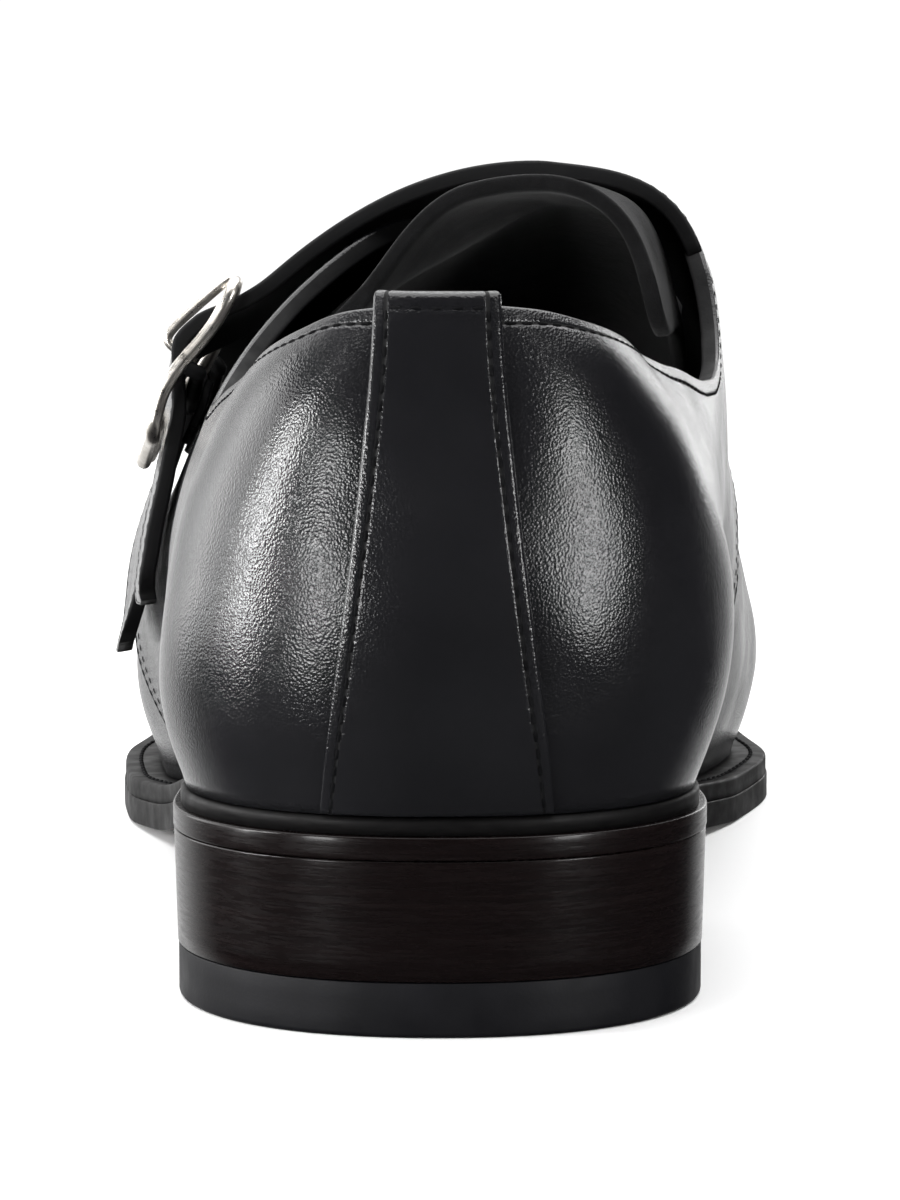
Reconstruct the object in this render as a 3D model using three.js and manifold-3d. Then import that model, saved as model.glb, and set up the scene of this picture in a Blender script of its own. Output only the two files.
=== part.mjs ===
// A double monk strap shoe for the left foot, in black calf leather.
// Millimetres. The toe points to +Y, the inner (medial) side to +X, the floor is z = 0.
import * as THREE from 'three';
import { mergeVertices } from 'three/addons/utils/BufferGeometryUtils.js';
import Module from 'manifold-3d';

const wasm = await Module();
wasm.setup();

// Driving sizes
const GAP = 0.3;
const HEEL_PIVOT_Y = 35;
const TOE_START_Y = 232;
const TOE_TIP_Y = 293;
const TOE_TIP_X = 9;
const TOE_ROUNDNESS = 2.15;
const HEEL_ROUNDNESS = { low: 2.2, collar: 2.7 };
const FOOT_TURN = 0.3;
const TUCK_POWER = 1.8;

const LIFT_HEIGHT = 6.3;
const HEEL_BREAST_Y = 62;
const HEEL_BREAST_HOLLOW = 3;
const HEEL_TAPER = 0.6;
const SEAT_THICKNESS = 2.7;
const OUTSOLE_THICKNESS = 4;
const RAND_THICKNESS = 1.7;
const WELT_THICKNESS = 2.6;
const WELT_INWARD = 7;
const INSOLE_THICKNESS = 2.5;

const QUARTER_WALL = 2.4;
const VAMP_DROP = 1.3;
const VAMP_WALL = 2.0;
const THROAT_Y = 150;
const STRAP_ROOT = 0.372;
const STRAP_THICKNESS = 2.3;
const TONGUE_THICKNESS = 2.4;
const BACKSTAY_THICKNESS = 1.1;
const BACKSTAY_STANDS = 1.2;

const FRAME_RADIUS = 1.0;
const BAR_RADIUS = 0.85;
const FRAME_SIDES = 8;
const PRONG_RADIUS = 0.65;
const TAB_THICKNESS = 1.2;

// Last sections. foot = half width at the feather edge, bulge = widest half width,
// rise = height of the widest point, crown = the ridge of the instep.
const SECTIONS = [
  { y: 35, footLat: 30.4, footMed: 30.8, bulgeLat: 33.4, bulgeMed: 35.4, riseLat: 38.5, riseMed: 43,
    crownX: 1.0, crownZ: 88, powerLat: 2.0, powerMed: 2.0 },
  { y: 70, footLat: 29.5, footMed: 27.5, bulgeLat: 35.6, bulgeMed: 37.0, riseLat: 40, riseMed: 47,
    crownX: 7.5, crownZ: 98, powerLat: 1.95, powerMed: 2.2 },
  { y: 107, footLat: 31.0, footMed: 25.5, bulgeLat: 38.0, bulgeMed: 39.6, riseLat: 45, riseMed: 60,
    crownX: 14.5, crownZ: 99.6, powerLat: 1.8, powerMed: 3.3 },
  { y: 140, footLat: 36.0, footMed: 31.5, bulgeLat: 43.0, bulgeMed: 43.5, riseLat: 37, riseMed: 44,
    crownX: 11.5, crownZ: 85.5, powerLat: 2.0, powerMed: 2.6 },
  { y: 172, footLat: 44.5, footMed: 42.5, bulgeLat: 49.0, bulgeMed: 49.3, riseLat: 26, riseMed: 29,
    crownX: 8.5, crownZ: 71.5, powerLat: 2.15, powerMed: 2.3 },
  { y: 203, footLat: 47.3, footMed: 49.0, bulgeLat: 50.6, bulgeMed: 53.0, riseLat: 21.5, riseMed: 22,
    crownX: 6.0, crownZ: 59.5, powerLat: 2.2, powerMed: 2.2 },
  { y: 232, footLat: 43.0, footMed: 45.5, bulgeLat: 46.2, bulgeMed: 48.8, riseLat: 21, riseMed: 21,
    crownX: 5.0, crownZ: 49.5, powerLat: 2.3, powerMed: 2.3 },
  { y: 262, footLat: 37.0, footMed: 42.5, bulgeLat: 40.0, bulgeMed: 45.5, riseLat: 23.5, riseMed: 23.5,
    crownX: 7.0, crownZ: 43.5, powerLat: 2.35, powerMed: 2.35 },
  { y: 293, footLat: 30.0, footMed: 39.0, bulgeLat: 33.0, bulgeMed: 42.0, riseLat: 28, riseMed: 28,
    crownX: 9.0, crownZ: 41, powerLat: 2.4, powerMed: 2.4 },
];

// Underside of the outsole along the shoe: heel seat, shank, flat tread, toe spring.
const SOLE_LINE = [
  { y: -5, z: 20.3 }, { y: 45, z: 20.3 }, { y: 64, z: 19.2 }, { y: 95, z: 13.2 }, { y: 125, z: 6.2 },
  { y: 152, z: 1.4 }, { y: 178, z: 0 }, { y: 212, z: 0 }, { y: 235, z: 1.3 }, { y: 262, z: 4.8 },
  { y: 300, z: 12 },
];

// Back curve of the heel, as seen from the side.
const BACK_CURVE = [
  { z: 22, y: 4.4 }, { z: 34, y: 1.3 }, { z: 48, y: 0 }, { z: 66, y: 1.9 }, { z: 88, y: 7 },
];

// Topline. along < 0 is degrees round the heel (-90 is the centre of the back), along > 0 is
// millimetres ahead of the heel pivot.
const COLLAR_LATERAL = [
  { along: -90, z: 83 }, { along: -68, z: 82 }, { along: -50, z: 79.8 }, { along: -28, z: 77.6 },
  { along: 0, z: 75.2 }, { along: 15, z: 72.3 }, { along: 29, z: 69.4 }, { along: 38, z: 69.3 },
  { along: 50, z: 73.6 }, { along: 60, z: 80 }, { along: 68, z: 87 },
];
const THROAT_LATERAL = [
  { along: 75, turn: 0.81 }, { along: 83, turn: 0.88 }, { along: 115, turn: 0.92 },
];
const COLLAR_MEDIAL = [
  { along: -90, z: 83 }, { along: -68, z: 82.3 }, { along: -50, z: 80.8 }, { along: -28, z: 79.2 },
  { along: 0, z: 77.3 }, { along: 15, z: 74.8 }, { along: 30, z: 72.7 }, { along: 40, z: 72.2 },
  { along: 50, z: 72.8 }, { along: 58, z: 75.4 }, { along: 63, z: 80 }, { along: 66.5, z: 85.5 },
];
const THROAT_MEDIAL = [
  { along: 69.5, turn: 0.62 }, { along: 115, turn: 0.62 },
];

// Front edge of the quarters, from the feather edge (turn 0) to the throat (turn 1).
const QUARTER_EDGE = [
  { turn: 0, lateral: 143, medial: 137 }, { turn: 0.3, lateral: 160, medial: 149 },
  { turn: 0.55, lateral: 166, medial: 157 }, { turn: 0.8, lateral: 160, medial: 157 },
  { turn: 1, lateral: THROAT_Y, medial: THROAT_Y },
];

// Straps from their medial root to the tip. girth: 0 is the ridge, -1 and +1 the feather edges;
// lift: height of the strap's inner face over the quarter, along its rear edge; rear and front: its
// two edges.
const STRAP_REAR = [
  { girth: STRAP_ROOT, lift: -2.3, rear: 104, front: 127.5 },
  { girth: 0.2, lift: -1.6, rear: 106, front: 127.5 },
  { girth: 0, lift: -0.5, rear: 107, front: 127.5 },
  { girth: -0.1, lift: 0.35, rear: 107.3, front: 127.3 },
  { girth: -0.16, lift: 0.8, rear: 107.5, front: 127.2 },
  { girth: -0.28, lift: 1.4, rear: 108, front: 126.6 },
  { girth: -0.345, lift: 1.9, rear: 108, front: 126.2 },
  { girth: -0.385, lift: 3.2, rear: 108, front: 126 },
  { girth: -0.43, lift: 6.2, rear: 108, front: 126 },
  { girth: -0.458, lift: 6.9, rear: 108, front: 126 },
  { girth: -0.49, lift: 5.0, rear: 108, front: 126 },
  { girth: -0.53, lift: 2.4, rear: 108, front: 126 },
  { girth: -0.57, lift: 1.4, rear: 108, front: 126 },
  { girth: -0.62, lift: 0.8, rear: 108, front: 126 },
  { girth: -0.68, lift: 1.1, rear: 108.2, front: 126 },
  { girth: -0.715, lift: 1.7, rear: 108.8, front: 125.4 },
  { girth: -0.735, lift: 1.8, rear: 110.8, front: 123.6 },
  { girth: -0.745, lift: 1.5, rear: 114.5, front: 120 },
];
const STRAP_FRONT = [
  { girth: STRAP_ROOT, lift: -2.3, rear: 130, front: 156.4 },
  { girth: 0.2, lift: -0.8, rear: 131.5, front: 155.5 },
  { girth: 0, lift: 0.3, rear: 132, front: 154.5 },
  { girth: -0.16, lift: 1.0, rear: 132.5, front: 154 },
  { girth: -0.26, lift: 1.9, rear: 132.5, front: 153.5 },
  { girth: -0.31, lift: 2.9, rear: 132.5, front: 153.2 },
  { girth: -0.355, lift: 5.2, rear: 132.5, front: 153 },
  { girth: -0.385, lift: 5.9, rear: 132.5, front: 153 },
  { girth: -0.42, lift: 4.4, rear: 132.5, front: 153 },
  { girth: -0.46, lift: 2.3, rear: 132.5, front: 153 },
  { girth: -0.5, lift: 1.2, rear: 132.2, front: 152.6 },
  { girth: -0.56, lift: 0.6, rear: 131.5, front: 152 },
  { girth: -0.65, lift: 0.5, rear: 130.5, front: 151 },
  { girth: -0.69, lift: 0.8, rear: 130, front: 150.4 },
  { girth: -0.725, lift: 1.8, rear: 130.2, front: 149.8 },
  { girth: -0.755, lift: 3.0, rear: 132.2, front: 148 },
  { girth: -0.765, lift: 3.4, rear: 136, front: 144.5 },
];

// Buckles: the frame runs round its strap, its ends over the strap and its bar under it.
const BUCKLES = [
  { name: 'rear', strap: STRAP_REAR, topGirth: -0.375, barGirth: -0.48, endGirth: -0.565 },
  { name: 'front', strap: STRAP_FRONT, topGirth: -0.3, barGirth: -0.405, endGirth: -0.48 },
];
const FRAME_CLEARANCE = 1.6;
const FRAME_SWING = 0.9;
const FRAME_LEAN = 1.0;
const STRAP_TWIST = 0.16;
const FRAME_END_CLEARANCE = 0.8;
const BAR_DROP = 1.9;
const TAB_GIRTH = 0.055;

const COLORS = {
  calf: { color: 0x1c1c1f, roughness: 0.32, metalness: 0 },
  suede: { color: 0x171719, roughness: 0.85, metalness: 0 },
  lining: { color: 0x141416, roughness: 0.7, metalness: 0 },
  edge: { color: 0x1a1818, roughness: 0.45, metalness: 0 },
  stack: { color: 0x2c2526, roughness: 0.4, metalness: 0 },
  rubber: { color: 0x202024, roughness: 0.6, metalness: 0 },
  nickel: { color: 0xd2cbc0, roughness: 0.38, metalness: 1 },
};

// A smooth curve through a table's rows that never overshoots them.
function curve(rows, key, value, flatStart = false) {
  const x = rows.map((row) => row[key]);
  const y = rows.map((row) => row[value]);
  const last = x.length - 1;
  const slope = (i) => (y[i + 1] - y[i]) / (x[i + 1] - x[i]);
  const tangent = x.map((_, i) => {
    if (i === 0) return flatStart ? 0 : slope(0);
    if (i === last) return slope(last - 1);
    const before = slope(i - 1);
    const after = slope(i);
    if (before * after <= 0) return 0;
    const a = 2 * (x[i + 1] - x[i]) + (x[i] - x[i - 1]);
    const b = (x[i + 1] - x[i]) + 2 * (x[i] - x[i - 1]);
    return (a + b) / (a / before + b / after);
  });
  return (at) => {
    const k = Math.min(Math.max(x.findIndex((value) => value > at) - 1, 0), last - 1);
    const i = at >= x[last] ? last - 1 : k;
    const h = x[i + 1] - x[i];
    const t = THREE.MathUtils.clamp((at - x[i]) / h, 0, 1);
    const t2 = t * t;
    const t3 = t2 * t;
    return (2 * t3 - 3 * t2 + 1) * y[i] + (t3 - 2 * t2 + t) * h * tangent[i]
      + (3 * t2 - 2 * t3) * y[i + 1] + (t3 - t2) * h * tangent[i + 1];
  };
}

const { lerp, smoothstep, clamp, degToRad } = THREE.MathUtils;

const sectionNames = Object.keys(SECTIONS[0]).filter((name) => name !== 'y');
const sectionCurves = Object.fromEntries(
  sectionNames.map((name) => [name, curve(SECTIONS, 'y', name, true)]),
);
const soleLine = curve(SOLE_LINE, 'y', 'z');
const backCurve = curve(BACK_CURVE, 'z', 'y');

function outsoleTop(y) {
  return soleLine(y) + lerp(SEAT_THICKNESS, OUTSOLE_THICKNESS, smoothstep(y, 60, 120));
}

function weltTop(y) {
  return outsoleTop(y) + GAP + lerp(RAND_THICKNESS, WELT_THICKNESS, smoothstep(y, 50, 100));
}

function footZ(y) {
  return weltTop(y) + 1.5 * GAP;
}

// How far the toe has closed at y: 1 behind the toe, 0 at its tip.
function toeClosing(y) {
  const reach = clamp((y - TOE_START_Y) / (TOE_TIP_Y - TOE_START_Y), 0, 1);
  return (1 - reach ** TOE_ROUNDNESS) ** (1 / TOE_ROUNDNESS);
}

// The half section of the last at y, on side -1 (lateral) or +1 (medial).
function section(y, side) {
  const of = (name) => sectionCurves[name](y);
  const suffix = side < 0 ? 'Lat' : 'Med';
  const closing = toeClosing(y);
  const centre = lerp(of('crownX'), TOE_TIP_X, smoothstep(y, TOE_START_Y, TOE_TIP_Y));
  const close = (x) => centre + (x - centre) * closing;
  const bulgeZ = of(`rise${suffix}`);
  return {
    footX: close(side * of(`foot${suffix}`)),
    footZ: footZ(y),
    bulgeX: close(side * of(`bulge${suffix}`)),
    bulgeZ,
    crownX: close(of('crownX')),
    crownZ: bulgeZ + (of('crownZ') - bulgeZ) * closing,
    power: of(`power${suffix}`),
  };
}

// A point of a half section: turn 0 is the feather edge, FOOT_TURN the bulge, 1 the ridge.
function profile(part, turn) {
  if (turn < FOOT_TURN) {
    const rise = turn / FOOT_TURN;
    const tuck = (1 - rise) ** TUCK_POWER;
    return {
      x: part.bulgeX - (part.bulgeX - part.footX) * tuck,
      z: lerp(part.footZ, part.bulgeZ, rise),
    };
  }
  const angle = ((turn - FOOT_TURN) / (1 - FOOT_TURN)) * Math.PI / 2;
  const cos = Math.max(Math.cos(angle), 0);
  const sin = Math.sin(angle);
  const reach = (cos ** part.power + sin ** part.power) ** (-1 / part.power);
  return {
    x: part.crownX + (part.bulgeX - part.crownX) * cos * reach,
    z: part.bulgeZ + (part.crownZ - part.bulgeZ) * sin * reach,
  };
}

// The turn at which a half section reaches height z.
function turnAt(part, z) {
  if (z < part.bulgeZ) {
    return FOOT_TURN * (z - part.footZ) / (part.bulgeZ - part.footZ);
  }
  const rise = (z - part.bulgeZ) / (part.crownZ - part.bulgeZ);
  const run = (1 - rise ** part.power) ** (1 / part.power);
  return FOOT_TURN + (1 - FOOT_TURN) * Math.atan2(rise, run) / (Math.PI / 2);
}

const heelSection = { [-1]: section(HEEL_PIVOT_Y, -1), 1: section(HEEL_PIVOT_Y, 1) };

// The outer face of the quarters and, carried on, of the whole last.
function base(along, side, turn) {
  if (along >= 0) {
    const y = HEEL_PIVOT_Y + along;
    const { x, z } = profile(section(y, side), turn);
    return new THREE.Vector3(x, y, z);
  }
  const { x, z } = profile(heelSection[side], turn);
  const angle = degToRad(90 + along);
  const sin = Math.sin(angle);
  const cos = Math.cos(angle);
  const depth = HEEL_PIVOT_Y - backCurve(z);
  const power = lerp(HEEL_ROUNDNESS.low, HEEL_ROUNDNESS.collar, smoothstep(z, 50, 84));
  const reach = ((sin / Math.abs(x)) ** power + (cos / depth) ** power) ** (-1 / power);
  return new THREE.Vector3(side * reach * sin, HEEL_PIVOT_Y - reach * cos, z);
}

function outward(along, side, turn) {
  const tip = TOE_TIP_Y - HEEL_PIVOT_Y;
  if (along > tip - 0.01) return new THREE.Vector3(0, 1, 0);
  const step = 0.3;
  const ahead = base(Math.min(along + step, tip), side, turn);
  const run = ahead.sub(base(Math.max(along - step, -90), side, turn));
  const nudge = 0.002;
  const climb = turn > 0.9999
    ? new THREE.Vector3(-side, 0, 0)
    : base(along, side, Math.min(turn + nudge, 1)).sub(base(along, side, Math.max(turn - nudge, 0)));
  const normal = run.cross(climb).multiplyScalar(side);
  if (along < -89.99) normal.x = 0;
  return normal.normalize();
}

// A point at a level over the last: girth runs from -1 (lateral feather edge) over 0 (ridge) to +1.
function skin(along, girth, level) {
  const side = girth < 0 ? -1 : 1;
  const turn = 1 - Math.abs(girth);
  return base(along, side, turn).addScaledVector(outward(along, side, turn), level);
}

function solidFrom(points, faces) {
  const geometry = new THREE.BufferGeometry();
  const numbers = points.flatMap((point) => point.toArray());
  geometry.setAttribute('position', new THREE.Float32BufferAttribute(numbers, 3));
  geometry.setIndex(faces);
  const merged = mergeVertices(geometry, 1e-4);
  const index = Array.from(merged.index.array);
  const kept = [];
  for (let i = 0; i < index.length; i += 3) {
    const [a, b, c] = index.slice(i, i + 3);
    if (a !== b && b !== c && c !== a) kept.push(a, b, c);
  }
  merged.setIndex(kept);
  return merged;
}

// A closed solid between two grids of points. keep says which cells are there, and welded
// which outer edges of the grid meet another part of the same grid and get no wall.
function sheet(rows, columns, outer, inner, keep = () => true, welded = () => false) {
  const points = [];
  const faces = [];
  const at = (i, j, layer) => (i * columns + j) * 2 + layer;
  for (let i = 0; i < rows; i += 1) {
    for (let j = 0; j < columns; j += 1) points.push(outer(i, j), inner(i, j));
  }
  const quad = (a, b, c, d) => faces.push(a, b, c, a, c, d);
  const here = (i, j) => i >= 0 && j >= 0 && i < rows - 1 && j < columns - 1 && keep(i, j);
  const wall = (i, j, k, l) => quad(at(i, j, 0), at(i, j, 1), at(k, l, 1), at(k, l, 0));
  for (let i = 0; i < rows - 1; i += 1) {
    for (let j = 0; j < columns - 1; j += 1) {
      if (!here(i, j)) continue;
      quad(at(i, j, 0), at(i, j + 1, 0), at(i + 1, j + 1, 0), at(i + 1, j, 0));
      quad(at(i, j, 1), at(i + 1, j, 1), at(i + 1, j + 1, 1), at(i, j + 1, 1));
      if (!here(i - 1, j) && !welded(i, j, 'start')) wall(i, j, i, j + 1);
      if (!here(i + 1, j) && !welded(i, j, 'end')) wall(i + 1, j + 1, i + 1, j);
      if (!here(i, j - 1)) wall(i + 1, j, i, j);
      if (!here(i, j + 1)) wall(i, j + 1, i + 1, j + 1);
    }
  }
  return outwardFacing(solidFrom(points, faces));
}

function volumeOf(geometry) {
  const position = geometry.getAttribute('position');
  const index = geometry.index.array;
  const [a, b, c] = [new THREE.Vector3(), new THREE.Vector3(), new THREE.Vector3()];
  let volume = 0;
  for (let i = 0; i < index.length; i += 3) {
    a.fromBufferAttribute(position, index[i]);
    b.fromBufferAttribute(position, index[i + 1]);
    c.fromBufferAttribute(position, index[i + 2]);
    volume += a.dot(b.cross(c)) / 6;
  }
  return volume;
}

function outwardFacing(geometry) {
  if (volumeOf(geometry) < 0) geometry.setIndex(Array.from(geometry.index.array).reverse());
  return geometry;
}

function toManifold(geometry) {
  return new wasm.Manifold(new wasm.Mesh({
    numProp: 3,
    vertProperties: new Float32Array(geometry.getAttribute('position').array),
    triVerts: new Uint32Array(geometry.index.array),
  }));
}

function fromManifold(solid) {
  const { vertProperties, triVerts } = solid.getMesh();
  const geometry = new THREE.BufferGeometry();
  geometry.setAttribute('position', new THREE.Float32BufferAttribute(Array.from(vertProperties), 3));
  geometry.setIndex(Array.from(triVerts));
  return geometry;
}

// Stations along the shoe
function range(count, from, to) {
  return Array.from({ length: count }, (_, i) => lerp(from, to, i / (count - 1)));
}
const heelStations = range(10, -90, 0);
const waistStations = [9, 18, 27, 36, 44, 51, 57, 62, 66, 69.5, 75, 83, 93, 104];
const throatAlong = THROAT_Y - HEEL_PIVOT_Y;
const ballStations = [10, 21, 32, 44, 57, 70, 82].map((step) => throatAlong + step);
const toeStations = [14, 27, 40, 52, 63, 72, 79, 85, 90].map((degrees) => {
  const sin = Math.sin(degToRad(degrees));
  const cos = Math.max(Math.cos(degToRad(degrees)), 0);
  const reach = (sin ** TOE_ROUNDNESS + cos ** TOE_ROUNDNESS) ** (-1 / TOE_ROUNDNESS);
  return TOE_START_Y - HEEL_PIVOT_Y + (TOE_TIP_Y - TOE_START_Y) * Math.min(sin * reach, 1);
});
const STEP_LENGTH = 0.3;
const upperStations = [
  ...heelStations, ...waistStations, throatAlong, throatAlong + STEP_LENGTH,
  ...ballStations, ...toeStations,
];
const throatStation = upperStations.indexOf(throatAlong);

const toplineOf = {
  [-1]: { collar: COLLAR_LATERAL, throat: THROAT_LATERAL },
  1: { collar: COLLAR_MEDIAL, throat: THROAT_MEDIAL },
};
function partAt(along, side) {
  return along < 0 ? heelSection[side] : section(HEEL_PIVOT_Y + along, side);
}

const topTurn = Object.fromEntries([-1, 1].map((side) => {
  const { collar, throat } = toplineOf[side];
  const rows = collar.map(({ along, z }) => ({ along, turn: turnAt(partAt(along, side), z) }));
  return [side, curve([...rows, ...throat], 'along', 'turn')];
}));

const VAMP_SPLIT = 0.78;
function splitTurn(along, side) {
  const blend = smoothstep(along, throatAlong, throatAlong + 45);
  return lerp(topTurn[side](Math.min(along, throatAlong)), VAMP_SPLIT, blend);
}

const quarterEdge = {
  [-1]: curve(QUARTER_EDGE, 'turn', 'lateral'),
  1: curve(QUARTER_EDGE, 'turn', 'medial'),
};

// Stations near the throat lean so that one of them is the quarters' front edge.
function leaning(along, side, turn) {
  const weight = along < throatAlong
    ? smoothstep(along, 62, throatAlong)
    : 1 - smoothstep(along, throatAlong + STEP_LENGTH, throatAlong + 70);
  return along + weight * (quarterEdge[side](turn) - THROAT_Y);
}

const WALL_COLUMNS = 9;
const VAMP_COLUMNS = 4;
const SIDE_COLUMNS = WALL_COLUMNS + VAMP_COLUMNS;

// Places a grid point of the upper: column 0 is the lateral feather edge, the middle one the ridge.
function upperPlace(i, j) {
  const along = upperStations[i];
  const side = j < SIDE_COLUMNS ? -1 : 1;
  const column = side < 0 ? j : 2 * SIDE_COLUMNS - j;
  const split = splitTurn(along, side);
  if (column > WALL_COLUMNS) {
    const turn = lerp(split, 1, (column - WALL_COLUMNS) / VAMP_COLUMNS);
    return { along: leaning(along, side, turn), side, turn };
  }
  const part = partAt(along, side);
  const share = column / WALL_COLUMNS;
  const topZ = profile(part, split).z;
  const byHeight = turnAt(part, lerp(part.footZ, topZ, share));
  const byTurn = split * share;
  const turn = column === WALL_COLUMNS ? split : lerp(byHeight, byTurn, smoothstep(along, 0, 50));
  return { along: leaning(along, side, turn), side, turn };
}

// Thickness of quarters and lining together, and ahead of the throat the vamp's inner face.
function wallDepth(along) {
  return lerp(QUARTER_WALL, VAMP_DROP + VAMP_WALL, smoothstep(along, 50, throatAlong));
}

function wallLevels(i, j) {
  const fromSide = Math.min(j, 2 * SIDE_COLUMNS - j);
  const vamp = i > throatStation || fromSide > WALL_COLUMNS;
  return { outer: vamp ? -VAMP_DROP : 0, inner: -wallDepth(upperStations[i]) };
}

function upperPoint(i, j, layer) {
  const { along, side, turn } = upperPlace(i, j);
  const point = skin(along, side * (1 - turn) || side * 1e-12, wallLevels(i, j)[layer]);
  if (j === 0 || j === 2 * SIDE_COLUMNS) point.z = footZ(base(along, side, 0).y);
  return point;
}

function makeUpper() {
  const isWall = (j) => j < WALL_COLUMNS || j >= 2 * SIDE_COLUMNS - WALL_COLUMNS;
  return sheet(
    upperStations.length,
    2 * SIDE_COLUMNS + 1,
    (i, j) => upperPoint(i, j, 'outer'),
    (i, j) => upperPoint(i, j, 'inner'),
    (i, j) => i >= throatStation || isWall(j),
    (i, j, edge) => (edge === 'start' ? i === 0 : i === upperStations.length - 2),
  );
}

// Plan outline of the sole parts: the feather edge moved outwards by a distance.
const soleStations = [
  ...range(9, -90, 0), 13, 26, 38, 52, 66, 80, 95, 110, 125, 140, 155, 170, 184, ...toeStations,
];

function footPoint(along, side) {
  const point = base(along, side, 0);
  return new THREE.Vector2(point.x, point.y);
}

function outlinePoint(along, side, distance) {
  const tip = TOE_TIP_Y - HEEL_PIVOT_Y;
  const normal = new THREE.Vector2(0, 1);
  if (along < -89.99) {
    normal.set(0, -1);
  } else if (along < tip - 0.01) {
    const run = footPoint(Math.min(along + 0.3, tip), side).sub(footPoint(along - 0.3, side));
    normal.set(run.y, -run.x).multiplyScalar(side).normalize();
  }
  return footPoint(along, side).addScaledVector(normal, distance);
}

// How far the sole's edge stands out beyond the feather edge.
const SOLE_REACH = [
  { y: 0, reach: 1.5 }, { y: 60, reach: 1.6 }, { y: 95, reach: 3 }, { y: 150, reach: 4.6 },
  { y: 293, reach: 5 },
];
const soleReach = curve(SOLE_REACH, 'y', 'reach');
const reachAt = (along) => soleReach(Math.max(HEEL_PIVOT_Y + along, 0));

const ACROSS = 4;

// A plate with the outline of the sole, built up from rings. Each ring has an inset from the
// sole's edge and a height that may follow y; the first is the bottom and the last the top.
function plate(stations, rings, reach, shape = (point) => point) {
  const count = stations.length;
  const points = [];
  const faces = [];
  const columns = ACROSS + 1;
  const at = (ring, i, j) => (ring * count + i) * columns + j;
  rings.forEach(({ inset, z }) => {
    stations.forEach((along, i) => {
      const lateral = outlinePoint(along, -1, reach(along) - inset);
      const medial = outlinePoint(along, 1, reach(along) - inset);
      for (let j = 0; j < columns; j += 1) {
        const flat = shape(lateral.clone().lerp(medial, j / ACROSS), i, inset);
        points.push(new THREE.Vector3(flat.x, flat.y, z(flat.y)));
      }
    });
  });
  const quad = (a, b, c, d) => faces.push(a, b, c, a, c, d);
  const top = rings.length - 1;
  for (let i = 0; i < count - 1; i += 1) {
    for (let j = 0; j < ACROSS; j += 1) {
      quad(at(0, i, j), at(0, i + 1, j), at(0, i + 1, j + 1), at(0, i, j + 1));
      quad(at(top, i, j), at(top, i, j + 1), at(top, i + 1, j + 1), at(top, i + 1, j));
    }
    for (let ring = 0; ring < top; ring += 1) {
      quad(at(ring, i, 0), at(ring + 1, i, 0), at(ring + 1, i + 1, 0), at(ring, i + 1, 0));
      quad(
        at(ring, i, ACROSS),
        at(ring, i + 1, ACROSS),
        at(ring + 1, i + 1, ACROSS),
        at(ring + 1, i, ACROSS),
      );
    }
  }
  const end = count - 1;
  for (let j = 0; j < ACROSS; j += 1) {
    for (let ring = 0; ring < top; ring += 1) {
      quad(at(ring, 0, j), at(ring, 0, j + 1), at(ring + 1, 0, j + 1), at(ring + 1, 0, j));
      quad(at(ring, end, j), at(ring + 1, end, j), at(ring + 1, end, j + 1), at(ring, end, j + 1));
    }
  }
  return outwardFacing(solidFrom(points, faces));
}

function makeOutsole() {
  const edge = 0.7;
  return plate(soleStations, [
    { inset: edge, z: soleLine },
    { inset: 0, z: (y) => soleLine(y) + edge },
    { inset: 0, z: (y) => outsoleTop(y) - edge / 2 },
    { inset: edge / 2, z: outsoleTop },
  ], reachAt);
}

const heelAlong = HEEL_BREAST_Y - HEEL_PIVOT_Y;
const heelBlockStations = [...range(13, -90, 0), heelAlong / 3, (2 * heelAlong) / 3, heelAlong];

// The breast of the heel is hollowed towards the back.
function breast(flat, i) {
  if (i < heelBlockStations.length - 1) return flat;
  const share = clamp(Math.abs(flat.x) / 31, 0, 1);
  return flat.clone().setY(flat.y - HEEL_BREAST_HOLLOW * (1 - share * share));
}

function makeHeelStack() {
  return plate(heelBlockStations, [
    { inset: HEEL_TAPER, z: () => LIFT_HEIGHT + GAP },
    { inset: 0.1, z: (y) => soleLine(y) - GAP },
  ], reachAt, breast);
}

function makeTopLift() {
  const bevel = 0.6;
  return plate(heelBlockStations, [
    { inset: HEEL_TAPER + bevel, z: () => 0 },
    { inset: HEEL_TAPER, z: () => bevel },
    { inset: HEEL_TAPER - 0.1, z: () => LIFT_HEIGHT },
  ], reachAt, breast);
}

function makeInsole() {
  const clear = (along) => -wallDepth(along) - 0.5;
  return plate(soleStations, [
    { inset: 0, z: footZ },
    { inset: 0, z: (y) => footZ(y) + INSOLE_THICKNESS },
  ], clear);
}

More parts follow.
